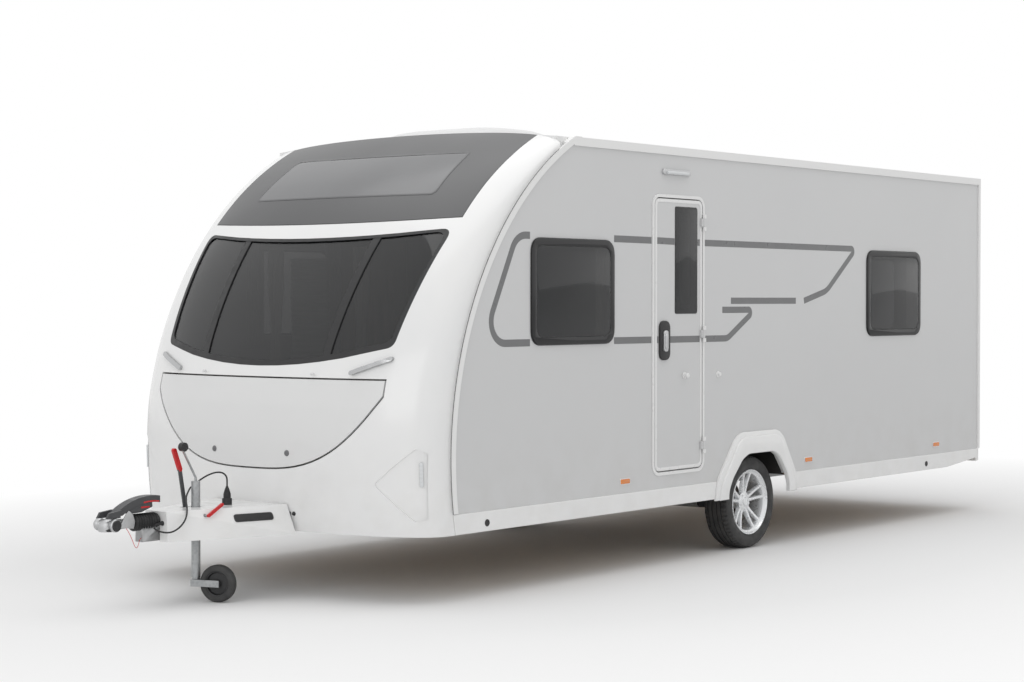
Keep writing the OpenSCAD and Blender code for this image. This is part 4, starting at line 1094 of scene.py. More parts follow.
add_piece("door_retainer_knob", knob, white_trim, body="door")
wall_knob = bmesh.new()
catch_profile = [
    (0, 0.022), (0.010, 0.022), (0.013, 0.019), (0.013, 0.008), (0.019, 0.005), (0.020, 0.0005), (0, 0.0005)
]
turned(wall_knob, catch_profile, Matrix.Translation((half_width, 0.149, 1.139)) @ across_x, steps=36)
add_piece("wall_retainer_catch", wall_knob, white_trim)

# ---- Far side service hatch -----------------------------------------------------------------
# A white-edged hatch in the far wall gives access to the toilet cassette. Its leaf is the same
# grey panel as the wall and closes flush with it.

refined("service_hatch", "service_door", wall_skin, 0.0015)
add_piece(
    "service_hatch_trim",
    plate(
        rectangle(3.209, 3.571, 0.569, 0.911, 0.03), rectangle(3.225, 3.555, 0.585, 0.895, 0.02), -1.1306,
        -1.1291, "X", 0.0006
    ),
    white_trim, body="hatch"
)

# ---- Roof, rear panel and rails -------------------------------------------------------------
# The roof is a crowned white GRP skin over foam. The flat rear panel is the same, and white
# awning rails in extruded alloy cover the joints and run down the rear corners.

for panel in ("roof_panel", "rear_panel"):
    nodes[panel].data.materials[0] = gel_white.material
rail_white = Finish("painted_rail", Base_Color=(0.81, 0.81, 0.805, 1), Roughness=0.34)
rail_white.worn(0.28, 0.42, 30, stretch=(1, 0.1, 1))
rail_white.grain(0.1, 0.0004, 200, detail=2, stretch=(1, 0.05, 1))
nodes["awning_rails"].data.materials[0] = rail_white.material
# A thin dark tube along each front rail is painted shade: it stands in for the shade inside the rail's
# slot.
groove_shade = Finish("painted_rail_groove_shade", Base_Color=(0.05, 0.05, 0.052, 1), Roughness=0.6)
groove_shade.worn(0.5, 0.7, 25)
grooves = bmesh.new()
rail_arc = [
    Vector((nose_centre_y - 2.008 * math.cos(a), nose_centre_z + 2.008 * math.sin(a)))
    for a in np.linspace(math.radians(-8), math.radians(58), 40)
]
for side in (1, -1):
    line = [Vector((side * (half_width + 0.0104), p.x, p.y)) for p in rail_arc]
    tube(grooves, line, 0.0016, sides=6)
add_piece("awning_rail_groove_shade", grooves, groove_shade)

# ---- Roof pod and rooflights ----------------------------------------------------------------
# A low streamlined pod over the lounge hides an opening rooflight; two square acrylic domes
# light the kitchen and the rear room. All sit on flanges sealed to the roof.

pod = bmesh.new()
crown = 2.5803
pod_top = [
    (-1.325, 2.584), (-1.295, 2.600), (-1.255, 2.618), (-1.205, 2.632), (-1.140, 2.642), (-1.000, 2.649),
    (-0.850, 2.652), (-0.720, 2.650), (-0.640, 2.640), (-0.600, 2.622), (-0.579, 2.596),
]
pod_rows, pod_heights = zip(*pod_top)
roof_bend = 11.533


def roof_height(x):
    """The top of the crowned roof."""
    return crown - x * x / (2 * roof_bend)


bmesh.ops.create_grid(pod, x_segments=30, y_segments=44, size=0.5)
for v in pod.verts:
    share, y = v.co.x * 2, pod_rows[0] + (v.co.y + 0.5) * (pod_rows[-1] - pod_rows[0])
    wide = 0.418 - 0.030 * max(0.0, (-1.15 - y) / 0.175) ** 2
    x = share * wide
    top = float(np.interp(y, pod_rows, pod_heights))
    floor_z = roof_height(x)
    v.co = Vector((x, y, max(floor_z + 0.002, floor_z + (top - floor_z) * (1 - abs(share) ** 7) ** 0.6)))
for _ in range(2):
    bmesh.ops.smooth_vert(
        pod, verts=[v for v in pod.verts if not v.is_boundary], factor=0.5, use_axis_z=True
    )
rim = [e for e in pod.edges if e.is_boundary]
skirt = bmesh.ops.extrude_edge_only(pod, edges=rim)["geom"]
hem = [g for g in skirt if isinstance(g, bmesh.types.BMVert)]
bmesh.ops.translate(pod, vec=(0, 0, -0.012), verts=hem)
bmesh.ops.holes_fill(pod, edges=[e for e in pod.edges if e.is_boundary], sides=0)
bmesh.ops.recalc_face_normals(pod, faces=pod.faces)
pod_plastic = Finish("pod_plastic", Base_Color=(0.66, 0.66, 0.66, 1), Roughness=0.35)
pod_plastic.worn(0.31, 0.42, 6)
pod_plastic.mottle((0.64, 0.641, 0.642, 1), (0.675, 0.676, 0.675, 1), 3, detail=4)
add_piece("roof_pod", pod, pod_plastic, node="roof_pod", angle=50)
dome_clear = Finish("dome_acrylic", Base_Color=(0.62, 0.64, 0.65, 1), Roughness=0.12, Alpha=0.85)
dome_clear.worn(0.08, 0.22, 20, detail=4, span=(0.35, 0.7))
domes, flanges = bmesh.new(), bmesh.new()
for y in (0.930, 2.720):
    ring_plate(
        flanges, rectangle(-0.210, 0.210, y, y + 0.420, 0.05),
        rectangle(-0.172, 0.172, y + 0.038, y + 0.382, 0.04),
        crown, crown + 0.018, "Z", 0.007,
    )
    ring_plate(
        domes, rectangle(-0.185, 0.185, y + 0.025, y + 0.395, 0.05), None, crown + 0.0181, crown + 0.0445,
        "Z", 0.018
    )
add_piece("rooflight_flanges", flanges, white_trim, node="rooflights")
add_piece("rooflight_domes", domes, dome_clear, angle=50)

# ---- Skirts, wheel spats and bumper ---------------------------------------------------------
# White plastic skirts close the gap below the walls, with a hole at each corner for the steady
# winder. Flared spats are screwed over the wheel openings; a moulded bumper spans the rear.

refined("side_skirts", "side_skirts", gel_white, 0.004)
refined("rear_bumper", "rear_bumper", gel_white, 0.014, segments=5)
axle_y = 0.630
spat_rear = [(0.462, 0.347), (0.444, 0.477), (0.290, 0.715), (0.215, 0.761)]
spat_front = [(0.520, 0.347), (0.492, 0.477), (0.300, 0.715), (0.225, 0.761)]
arch_rear = [(0.350, 0.330), (0.350, 0.400), (0.315, 0.480), (0.222, 0.590), (0.150, 0.622)]
arch_front = [(0.385, 0.330), (0.385, 0.400), (0.335, 0.480), (0.225, 0.590), (0.150, 0.622)]
spats = bmesh.new()
outer = [(axle_y + u, v, 0.0 if v < 0.4 else 0.16) for u, v in spat_rear]
outer += [(axle_y - u, v, 0.0 if v < 0.4 else 0.16) for u, v in reversed(spat_front)]
inner = [(axle_y + u, v, 0.0 if v < 0.35 else 0.14) for u, v in arch_rear]
inner += [(axle_y - u, v, 0.0 if v < 0.35 else 0.14) for u, v in reversed(arch_front)]
inner = [(u, v if v > 0.34 else 0.2, r) for u, v, r in inner]
for side in (1, -1):
    low, high = on_side(side, on_wall, half_width + 0.0185)
    ring_plate(spats, outline(outer, 6), outline(inner, 8), low, high, "X", 0.005)
    low, high = on_side(side, half_width + 0.0186, half_width + 0.0300)
    lip_outer = [(axle_y + (u - axle_y) * 0.93, v - (0.028 if v > 0.4 else 0.0), r) for u, v, r in outer]
    ring_plate(spats, outline(lip_outer, 6), outline(inner, 8), low, high, "X", 0.008)
add_piece("wheel_spats", spats, gel_white, node="wheel_spats", angle=40)
winder = bmesh.new()
for y in (-2.137, 2.95):
    for side in (-1, 1):
        grommet = Matrix.Translation(
            (side * 1.1302, y, 0.403)
        ) @ across_x @ Matrix.Diagonal((1, 1, side, 1))
        turned(
            winder,
            [
                (0, 0.001), (0.013, 0.001), (0.014, 0.0035), (0.018, 0.0035), (0.0195, 0.001),
                (0.0195, -0.001), (0, -0.001)
            ],
            frame_at=grommet, steps=32
        )
bmesh.ops.recalc_face_normals(winder, faces=winder.faces)
add_piece("winder_grommets", winder, black_trim)

# ---- Lamps ----------------------------------------------------------------------------------
# Amber side markers sit along the skirt line, combination tail lamps and top markers at the
# rear, a long awning light over the door, and a slim clear marker in each front recess.

amber = Finish("amber_lens", Base_Color=(0.80, 0.22, 0.02, 1), Roughness=0.15, Coat_Weight=0.6)
ribs = amber.bands("Y", 60.0)
amber.bump(ribs, 0.5, 0.001)
# The amber is lighter on the rib crests and darker in the grooves: painted highlight and painted shade over
# the ribs' real relief.
amber.vary("Base Color", amber.blend(ribs, (0.62, 0.15, 0.015, 1), (0.88, 0.28, 0.03, 1)))
red_lens = Finish("red_lens", Base_Color=(0.50, 0.01, 0.012, 1), Roughness=0.12, Coat_Weight=0.6)
cell_relief_and_glint = red_lens.node(
    "ShaderNodeTexVoronoi", {"distance": "CHEBYCHEV"}, {"Vector": red_lens.place(), "Scale": 95.0}
)
red_lens.bump(cell_relief_and_glint, 0.4, 0.0015)
# Each cell is bright red at its middle and dark towards its rim: painted glints over the cells' real
# relief.
red_lens.vary("Base Color", red_lens.blend(cell_relief_and_glint, (0.62, 0.02, 0.02, 1), (0.36, 0.006, 0.008, 1)))
clear_lens = Finish("clear_lens", Base_Color=(0.70, 0.72, 0.73, 1), Roughness=0.1, Coat_Weight=0.6)
flute_relief_and_sheen = clear_lens.bands("Z", 45.0)
clear_lens.bump(flute_relief_and_sheen, 0.4, 0.001)
# The clear lens is lighter on the flute crests and darker in the grooves: painted highlight and painted
# shade over the flutes' real relief.
clear_lens.vary("Base Color", clear_lens.blend(flute_relief_and_sheen, (0.58, 0.60, 0.61, 1), (0.78, 0.80, 0.81, 1)))

markers, marker_bases = bmesh.new(), bmesh.new()
for side in (1, -1):
    for y in (-0.854, 1.260, 3.108):
        spans = [
            on_side(side, on_wall, half_width + 0.0040),
            on_side(side, half_width + 0.0041, half_width + 0.0080)
        ]
        ring_plate(
            marker_bases, rectangle(y - 0.050, y + 0.050, 0.519, 0.555, 0.008), None, *spans[0], "X", 0.001
        )
        ring_plate(
            markers, rectangle(y - 0.045, y + 0.045, 0.523, 0.551, 0.007), None, *spans[1], "X", 0.002
        )
add_piece("side_markers", markers, amber, node="lamps")
add_piece("side_marker_bases", marker_bases, white_trim)
tail_red, tail_clear, tail_amber, tail_base = bmesh.new(), bmesh.new(), bmesh.new(), bmesh.new()
for side in (1, -1):
    x0, x1 = sorted((side * 0.865, side * 1.065))
    ring_plate(tail_base, rectangle(x0, x1, 0.587, 0.917, 0.03), None, rear_face, 3.834, "Y", 0.004)
    for store, z0, z1 in (
        (tail_red, 0.597, 0.695), (tail_clear, 0.701, 0.752), (tail_amber, 0.758, 0.815),
        (tail_red, 0.821, 0.907)
    ):
        ring_plate(store, rectangle(x0 + 0.010, x1 - 0.010, z0, z1, 0.012), None, 3.8341, 3.849, "Y", 0.006)
    x0, x1 = sorted((side * 0.965, side * 1.065))
    ring_plate(tail_red, rectangle(x0, x1, 2.419, 2.454, 0.010), None, rear_face, 3.845, "Y", 0.006)
ring_plate(tail_red, rectangle(-0.200, 0.200, 2.419, 2.454, 0.010), None, rear_face, 3.840, "Y", 0.006)
add_piece("tail_lamp_red", tail_red, red_lens)
add_piece("tail_lamp_clear", tail_clear, clear_lens)
add_piece("tail_lamp_amber", tail_amber, amber)
add_piece("tail_lamp_bases", tail_base, black_trim)
awning_lamp, awning_lens = bmesh.new(), bmesh.new()
ring_plate(
    awning_lamp, rectangle(-0.470, -0.180, 2.358, 2.392, 0.012), None, on_wall, half_width + 0.017, "X",
    0.005
)
ring_plate(
    awning_lens, rectangle(-0.440, -0.210, 2.362, 2.380, 0.008), None, half_width + 0.0171,
    half_width + 0.0275, "X", 0.005
)
add_piece("awning_light", awning_lamp, satin_silver)
add_piece("awning_light_lens", awning_lens, clear_lens)
front_markers = bmesh.new()
for side in (-1, 1):
    spot = on_nose(side * 1.066, 0.688, 0.0095)
    lens = prism(rectangle(-0.010, 0.010, -0.066, 0.066, 0.009), -0.002, 0.006, "Z")
    top_edges = [e for e in lens.edges if all(v.co.z > 0.005 for v in e.verts)]
    eased(lens, top_edges, 0.003)
    bmesh.ops.transform(lens, matrix=spot, verts=lens.verts)
    join(front_markers, lens)
add_piece("front_markers", front_markers, clear_lens)

# ---- Wheels and tyres -----------------------------------------------------------------------
# Radial tyres with four grooves and blocked shoulders sit on cast alloy wheels. Ten thin spokes
# in pairs join a machined hub to the rim, and a small cap covers the bearing.

tyre_rubber = Finish("tyre_rubber", Base_Color=(0.045, 0.045, 0.046, 1), Roughness=0.8)
tyre_rubber.mottle((0.038, 0.038, 0.039, 1), (0.066, 0.065, 0.063, 1), 14, detail=6, span=(0.35, 0.75))
tyre_rubber.worn(0.7, 0.88, 30)
tyre_rubber.grain(0.3, 0.0005, 350, detail=3)
alloy = Finish("cast_alloy", Base_Color=(0.80, 0.81, 0.82, 1), Roughness=0.3, Metallic=0.55)
alloy.mottle((0.77, 0.78, 0.79, 1), (0.84, 0.85, 0.86, 1), 8, detail=5)
alloy.worn(0.22, 0.38, 24)
alloy.grain(0.1, 0.0002, 700, detail=2)
drum_steel = Finish("brake_drum", Base_Color=(0.06, 0.058, 0.055, 1), Roughness=0.6, Metallic=0.3)
drum_steel.mottle((0.05, 0.05, 0.05, 1), (0.15, 0.085, 0.05, 1), 25, detail=6, span=(0.45, 0.7))
drum_steel.grain(0.3, 0.001, 120, detail=4)

tyre_r, bead_r = 0.2978, 0.2112
wheel_x, wheel_z = 0.9825, 0.298
tyre_steps = 120
grooves_at = (-0.048, -0.017, 0.017, 0.048)
tread_line = [(-0.070, 0.2935)]
for g in grooves_at:
    tread_line += [
        (g - 0.0045, tyre_r), (g - 0.0035, tyre_r - 0.007), (g + 0.0035, tyre_r - 0.007),
        (g + 0.0045, tyre_r)
    ]
tread_line += [(0.070, 0.2935)]
side_line = [
    (0.0820, 0.2860), (0.0880, 0.2760), (0.0915, 0.2600), (0.0922, 0.2480), (0.0905, 0.2330),
    (0.0850, 0.2210), (0.0800, 0.2150), (0.0760, bead_r + 0.0005), (0.0660, bead_r)
]
tyre_profile = [(-u, r) for u, r in reversed(side_line)] + tread_line + side_line
for side, body, node in ((1, "left_wheel", "tyre_left"), (-1, "right_wheel", "tyre_right")):
    bm = bmesh.new()
    ring = [bm.verts.new((u, 0, r)) for u, r in tyre_profile]
    inner_ring = [bm.verts.new((u, 0, bead_r)) for u in (0.050, -0.050)]
    loop = ring + inner_ring
    edges = [bm.edges.new((loop[i], loop[(i + 1) % len(loop)])) for i in range(len(loop))]
    bmesh.ops.spin(
        bm, geom=loop + edges, angle=2 * math.pi, steps=tyre_steps, axis=(1, 0, 0), cent=(0, 0, 0),
        use_merge=True
    )
    bmesh.ops.remove_doubles(bm, verts=bm.verts, dist=0.00005)
    bmesh.ops.recalc_face_normals(bm, faces=bm.faces)
    blocks = []
    for f in bm.faces:
        c = f.calc_center_median()
        step_index = int((math.atan2(c.z, c.y) / (2 * math.pi) + 1) * tyre_steps)
        if 0.0705 < abs(c.x) < 0.0815 or 0.0535 < abs(c.x) < 0.0695:
            if math.hypot(c.y, c.z) > 0.284 and step_index % 2 == (0 if c.x > 0 else 1):
                blocks.append(f)
    bmesh.ops.inset_individual(bm, faces=blocks, thickness=0.0015, depth=-0.004, use_even_offset=True)
    bmesh.ops.translate(bm, vec=(side * wheel_x, axle_y, wheel_z), verts=bm.verts)
    add_piece(
        node.replace("tyre", "road_tyre"), bm, tyre_rubber, body=body, node=node, angle=28
    )

    hub = bmesh.new()
    facing = Matrix.Translation(
        (side * wheel_x, axle_y, wheel_z)
    ) @ Matrix.Diagonal((side, 1, 1, 1)) @ across_x
    rim = [
        (0.2105, -0.0840), (0.2105, -0.0780), (0.2060, -0.0750), (0.1950, -0.0700), (0.1900, 0.0450),
        (0.2040, 0.0660),
        (0.2105, 0.0740), (0.2105, 0.0815), (0.2085, 0.0840), (0.2050, 0.0835), (0.2020, 0.0780),
        (0.1960, 0.0700),
        (0.1850, 0.0640), (0.1800, 0.0420), (0.1800, -0.0700), (0.1860, -0.0840), (0.2105, -0.0840),
    ]
    turned(hub, rim, facing, steps=96)
    middle = [
        (0, 0.0500), (0.0240, 0.0500), (0.0265, 0.0480), (0.0275, 0.0440), (0.0330, 0.0430),
        (0.0560, 0.0405),
        (0.0640, 0.0360), (0.0660, 0.0280), (0.0600, -0.0120), (0, -0.0120),
    ]
    turned(hub, middle, facing, steps=60)
    for pair in range(5):
        for lean in (-0.20, 0.20):
            spoke = bmesh.new()
            bmesh.ops.create_cube(spoke, size=1)
            long_edges = [e for e in spoke.edges if abs((e.verts[0].co - e.verts[1].co).x) > 0.5]
            bmesh.ops.subdivide_edges(spoke, edges=long_edges, cuts=7)
            for v in spoke.verts:
                along = v.co.x + 0.5
                radius = 0.045 + along * 0.148
                width = 0.034 - 0.009 * math.sin(along * math.pi * 0.62)
                front = 0.038 + 0.028 * along**1.7
                depth = 0.026 - 0.008 * along
                draft = 1.0 if v.co.z < 0 else 0.62
                v.co = Vector((radius, v.co.y * width * draft, front - depth / 2 + v.co.z * depth))
            ridges = [
                e
                for e in spoke.edges
                if all(v.co.z > 0.03 for v in e.verts) and abs(e.verts[0].co.x - e.verts[1].co.x) > 0.004
            ]
            eased(spoke, ridges, 0.002, segments=2)
            turn = Matrix.Rotation(pair * 2 * math.pi / 5 + lean + math.pi / 2, 4, "Z")
            bmesh.ops.transform(spoke, matrix=facing @ turn, verts=spoke.verts)
            join(hub, spoke)
        bolt = Matrix.Rotation(
            (pair + 0.5) * 2 * math.pi / 5 + math.pi / 2, 4, "Z"
        ) @ Matrix.Translation((0.046, 0, 0))
        turned(
            hub, [(0, 0.0460), (0.0070, 0.0460), (0.0085, 0.0445), (0.0085, 0.0400), (0, 0.0400)],
            facing @ bolt, steps=6
        )
    bmesh.ops.recalc_face_normals(hub, faces=hub.faces)
    add_piece(
        node.replace("tyre", "alloy_wheel"), hub, alloy, body=body,
        node=node.replace("tyre", "wheel"), angle=38
    )
    drum = bmesh.new()
    drum_profile = [
        (0.020, -0.1420), (0.1230, -0.1420), (0.1280, -0.1370), (0.1280, -0.0800), (0.1240, -0.0720),
        (0.1150, -0.0680),
        (0.0700, -0.0640), (0.0640, -0.0130), (0.020, -0.0130), (0.020, -0.1420),
    ]
    turned(drum, drum_profile, facing, steps=72)
    bmesh.ops.recalc_face_normals(drum, faces=drum.faces)
    add_piece(node.replace("tyre", "brake_drum"), drum, drum_steel, body=body)

# ---- Chassis and axle -----------------------------------------------------------------------
# Folded galvanised rails are bolted to an A-frame drawbar. A tubular axle with rubber-sprung
# arms hangs under them, and boxes in black plastic close the floor over the wheels.

galvanised = Finish("galvanised_steel", Base_Color=(0.36, 0.37, 0.375, 1), Roughness=0.42, Metallic=0.9)
spangle = galvanised.node("ShaderNodeTexVoronoi", {}, {"Vector": galvanised.place(), "Scale": 55.0})
galvanised.vary(
    "Base Color",
    galvanised.blend(
        galvanised.fade(spangle + galvanised.noise(18, detail=5) * 0.5, 0.2, 1.0), (0.30, 0.31, 0.32, 1),
        (0.43, 0.44, 0.445, 1)
    ),
)
galvanised.vary("Roughness", galvanised.fade(spangle, 0.0, 0.8, 0.36, 0.55))
galvanised.grain(0.15, 0.0006, 90, detail=3)
black_steel = Finish("black_painted_steel", Base_Color=(0.03, 0.03, 0.032, 1), Roughness=0.48)
black_steel.mottle((0.026, 0.026, 0.028, 1), (0.07, 0.062, 0.055, 1), 30, detail=6, span=(0.55, 0.75))
black_steel.worn(0.4, 0.6, 20)
black_steel.grain(0.2, 0.0004, 250, detail=3)
box_plastic = Finish("wheel_box_plastic", Base_Color=(0.022, 0.022, 0.023, 1), Roughness=0.7)
box_plastic.mottle((0.018, 0.018, 0.019, 1), (0.05, 0.047, 0.043, 1), 9, detail=6)
box_plastic.grain(0.3, 0.0005, 400, detail=2)
ply = Finish("floor_ply", Base_Color=(0.42, 0.30, 0.18, 1), Roughness=0.6)
veneer = ply.noise(5, detail=6, stretch=(12, 1, 12), rough=0.6)
ply.vary("Base Color", ply.blend(veneer, (0.33, 0.22, 0.12, 1), (0.50, 0.37, 0.23, 1)))
ply.bump(veneer, 0.2, 0.0008)

for name in ("chassis_rails", "drawbar_rails", "cross_members"):
    refined(name + "_finished", name, galvanised, 0.002)
refined("axle_tube", "axle_beam", galvanised, 0.0015)
refined("suspension_arms", "swing_arms", black_steel, 0.003)
nodes["wheel_boxes"].data.materials[0] = box_plastic.material
nodes["floor_panel"].data.materials[0] = ply.material
for corner in ("front_left", "front_right", "rear_left", "rear_right"):
    refined("leg_" + corner, "steady_" + corner, galvanised, 0.0015)

# ---- Coupling and brake ---------------------------------------------------------------------
# A cast ball head slides on a greased shaft behind a ribbed rubber boot. Its grey lever lifts
# the head off the ball, and the handbrake stands beside it with a red grip.

cast_silver = Finish(
    "zinc_plated_casting", Base_Color=(0.50, 0.505, 0.51, 1), Roughness=0.42, Metallic=0.85
)
cast_silver.mottle((0.42, 0.425, 0.43, 1), (0.58, 0.585, 0.59, 1), 30, detail=5)
cast_silver.worn(0.34, 0.52, 45)
cast_silver.grain(0.35, 0.0006, 350, detail=3)
dark_handle = Finish("dark_grey_handle", Base_Color=(0.055, 0.056, 0.06, 1), Roughness=0.42)
dark_handle.worn(0.35, 0.52, 35)
dark_handle.grain(0.25, 0.0003, 600, detail=2)
red_plastic = Finish("red_plastic", Base_Color=tone("c4161c"), Roughness=0.35)
red_plastic.mottle(tone("b81218"), tone("cf1d22"), 20)
red_plastic.worn(0.28, 0.44, 40)
red_plastic.grain(0.2, 0.0003, 500, detail=2)
along_y = axis_frames["Y"]


def repaint(piece, finishes, choose):
    """Gives each face of a piece the finish that its middle calls for."""
    for each in finishes:
        piece.data.materials.append(each.material)
    for face in piece.data.polygons:
        face.material_index = choose(face.center)
    return piece


shaft = bmesh.new()
shaft.from_mesh(nodes["coupling_head"].data)
bmesh.ops.remove_doubles(shaft, verts=shaft.verts, dist=0.00003)
head_space = block(-0.2, 0.2, -4.0, -3.748, 0.2, 0.8, "Z")
shaft = trimmed(shaft, [("DIFFERENCE", head_space)])
ball_y, ball_z = -3.810, 0.455
turned(
    shaft,
    [(0.0262, -0.0305), (0.0448, -0.0305), (0.0450, -0.0100), (0.0440, 0.0040), (0.0390, 0.0175),
     (0.0290, 0.0275), (0.0150, 0.0340),
     (0, 0.0358), (0, 0.0262), (0.0155, 0.0212), (0.0236, 0.0115), (0.0262, 0.0), (0.0262, -0.0305)],
    Matrix.Translation((0, ball_y, ball_z)), steps=56,
)
turned(
    shaft,
    [
        (0, 0.026), (0.0350, 0.026), (0.0340, 0.040), (0.0300, 0.060), (0.0272, 0.080), (0.0262, 0.105),
        (0, 0.105)
    ],
    Matrix.Translation((0, ball_y, ball_z)) @ along_y, steps=48,
)
for side in (1, -1):
    facing = Matrix.Translation((0, ball_y, ball_z + 0.002)) @ Matrix.Diagonal((side, 1, 1, 1)) @ across_x
    turned(
        shaft,
        [
            (0, 0.030), (0.0270, 0.030), (0.0290, 0.046), (0.0300, 0.050), (0.0328, 0.052), (0.0330, 0.066),
            (0.0310, 0.0718), (0, 0.0718)
        ],
        facing, steps=48,
    )
ring_plate(
    shaft,
    outline(
        [
            (-3.752, 0.438, 0.004), (-3.664, 0.428, 0.004), (-3.655, 0.466, 0.008), (-3.668, 0.500, 0.006),
            (-3.694, 0.524, 0.008), (-3.716, 0.505, 0.01), (-3.738, 0.472, 0.01)
        ],
        segments=5,
    ),
    None, 0.0290, 0.0335, "X", 0.0012,
)
add_piece("coupling_body", shaft, cast_silver, node="coupling_head")
lip = bmesh.new()
turned(
    lip,
    [
        (0.0452, -0.0300), (0.0458, -0.0290), (0.0461, -0.0220), (0.0458, -0.0140), (0.0451, -0.0130),
        (0.0451, -0.0300), (0.0452, -0.0300)
    ],
    Matrix.Translation((0, ball_y + 0.0015, ball_z)), steps=56,
)
lip_cut = block(-0.2, 0.2, ball_y - 0.008, -3.5, 0.2, 0.8, "Z")
add_piece("socket_lip", trimmed(lip, [("DIFFERENCE", lip_cut)]), black_trim)
handle = refined("coupling_lever", "coupling_handle", dark_handle, 0.007, segments=4)
inserts = bmesh.new()
for side in (1, -1):
    low, high = on_side(side, 0.0288, 0.0305)
    grip = [
        Vector((-3.540 + r * math.cos(a), 0.185 + r * math.sin(a)))
        for r, a in [(0.3795, math.radians(t)) for t in (82, 86, 90, 94, 98)]
        + [(0.3715, math.radians(t)) for t in (98, 94, 90, 86, 82)]
    ]
    ring_plate(inserts, grip, None, low, high, "X", 0.0006)
    strip = rectangle(-3.607, -3.548, 0.528, 0.536, 0.003)
    low, high = on_side(side, 0.0243, 0.0260)
    ring_plate(inserts, strip, None, low, high, "X", 0.0006)
add_piece("lever_inserts", inserts, red_plastic)
latch = bmesh.new()
latch_side = outline(
    [
        (-3.690, 0.520, 0.02), (-3.640, 0.552, 0.03), (-3.530, 0.572, 0.01), (-3.524, 0.530, 0.01),
        (-3.600, 0.506, 0.02), (-3.680, 0.503, 0.01)
    ],
    segments=5,
)
ring_plate(latch, latch_side, None, 0.0, 0.0242, "X", 0.006)
ring_plate(latch, latch_side, None, -0.0242, 0.0, "X", 0.006)
add_piece("lever_latch", latch, dark_handle)
caps = bmesh.new()
for side in (1, -1):
    facing = Matrix.Translation((side * 0.072, -3.810, 0.457)) @ Matrix.Diagonal((side, 1, 1, 1)) @ across_x
    turned(
        caps,
        [
            (0, 0.0055), (0.015, 0.0055), (0.0185, 0.0070), (0.0260, 0.0065), (0.0290, 0.0030),
            (0.0295, 0.0003), (0, 0.0003)
        ],
        facing, steps=48
    )
bmesh.ops.recalc_face_normals(caps, faces=caps.faces)
add_piece("pad_adjuster_caps", caps, black_trim)
boot = bmesh.new()
ribs = [(0.0275, 0.0)]
for i in range(9):
    start = 0.004 + i * 0.0170
    ribs += [
        (0.0370, start), (0.0440, start + 0.0045), (0.0450, start + 0.0065), (0.0440, start + 0.0085),
        (0.0365, start + 0.0130)
    ]
ribs += [(0.0400, 0.1575), (0.0400, 0.1598), (0.0275, 0.1598), (0.0275, 0.0)]
turned(boot, ribs, Matrix.Translation((0, -3.650, 0.455)) @ along_y, steps=56)
add_piece("shaft_boot", boot, black_rubber, node="overrun_bellows", angle=50)
brake = refined("handbrake", "handbrake_lever", dark_handle, 0.004)
repaint(
    brake, [red_plastic], lambda c: 1 if c.z > 0.694 and abs(c.x + 0.042) > 0.0052 or c.z > 0.718 else 0
)
refined("drawbar_fairing", "drawbar_cover", gel_white, 0.010, segments=4)
cover = bmesh.new()
cover.from_mesh(nodes["drawbar_cover"].data)
cover_surface = BVHTree.FromBMesh(cover)
cover.free()
grip_pads = bmesh.new()
for side in (1, -1):
    pad_blank = prism(rectangle(-0.112, 0.112, -0.020, 0.020, 0.016), 0.0004, 0.0060, "Z")
    rim = [e for e in pad_blank.edges if all(v.co.z > 0.005 for v in e.verts)]
    eased(pad_blank, rim, 0.003)
    for v in pad_blank.verts:
        start = Vector((side * 0.6, -3.012 + v.co.x, 0.447 + v.co.y))
        hit, normal, _, _ = cover_surface.ray_cast(start, Vector((-side, 0, 0)))
        v.co = hit + normal * v.co.z
    bmesh.ops.recalc_face_normals(pad_blank, faces=pad_blank.faces)
    join(grip_pads, pad_blank)
add_piece("fairing_grips", grip_pads, black_trim)
clips = bmesh.new()
for side in (1, -1):
    turned(
        clips, [(0, 0.012), (0.006, 0.012), (0.008, 0.009), (0.008, 0.004), (0.012, 0.0005), (0, 0.0005)],
        on_nose(side * 0.315, 0.452), steps=24
    )
add_piece("valance_clips", clips, black_trim)

# ---- Jockey wheel and plug holder -----------------------------------------------------------
# The jockey wheel slides in a clamp between the drawbar rails and winds up by a crank. Its
# solid rubber tyre runs on a grey plastic hub between two pressed steel plates.

leg = refined("jockey_leg", "jockey_tube", galvanised, 0.0012)
repaint(
    leg, [black_trim],
    lambda c: 1 if c.z > 0.799 and c.y < -3.2 and (c.x < -0.0055 or c.x > 0.0055 or c.z > 0.806) else 0
)
refined("jockey_screw", "jockey_stem", galvanised, 0.0008)
refined("jockey_caster", "jockey_fork", galvanised, 0.0015)
clamp = refined("jockey_clamp", "jockey_clamp", galvanised, 0.0015)
repaint(clamp, [red_plastic], lambda c: 1 if c.x > 0.165 else 0)
swivel = Matrix.Translation((0, -3.205, 0)) @ Matrix.Rotation(math.radians(20), 4, "Z")
axle_frame = swivel @ Matrix.Translation((0.132, 0, 0.100)) @ along_y
roller_tyre, roller_hub = bmesh.new(), bmesh.new()
turned(
    roller_tyre,
    [(0.070, -0.0225), (0.086, -0.0228), (0.094, -0.0215), (0.0985, -0.0175), (0.0997, -0.010),
     (0.0997, 0.010),
     (0.0985, 0.0175), (0.094, 0.0215), (0.086, 0.0228), (0.070, 0.0225), (0.070, -0.0225)],
    axle_frame, steps=64,
)
turned(
    roller_hub,
    [(0.0075, -0.0228), (0.018, -0.0228), (0.020, -0.021), (0.022, -0.010), (0.056, -0.008),
     (0.061, -0.018), (0.0698, -0.0195),
     (0.0698, 0.0195), (0.061, 0.018), (0.056, 0.008), (0.022, 0.010), (0.020, 0.021), (0.018, 0.0228),
     (0.0075, 0.0228), (0.0075, -0.0228)],
    axle_frame, steps=56,
)
bmesh.ops.recalc_face_normals(roller_tyre, faces=roller_tyre.faces)
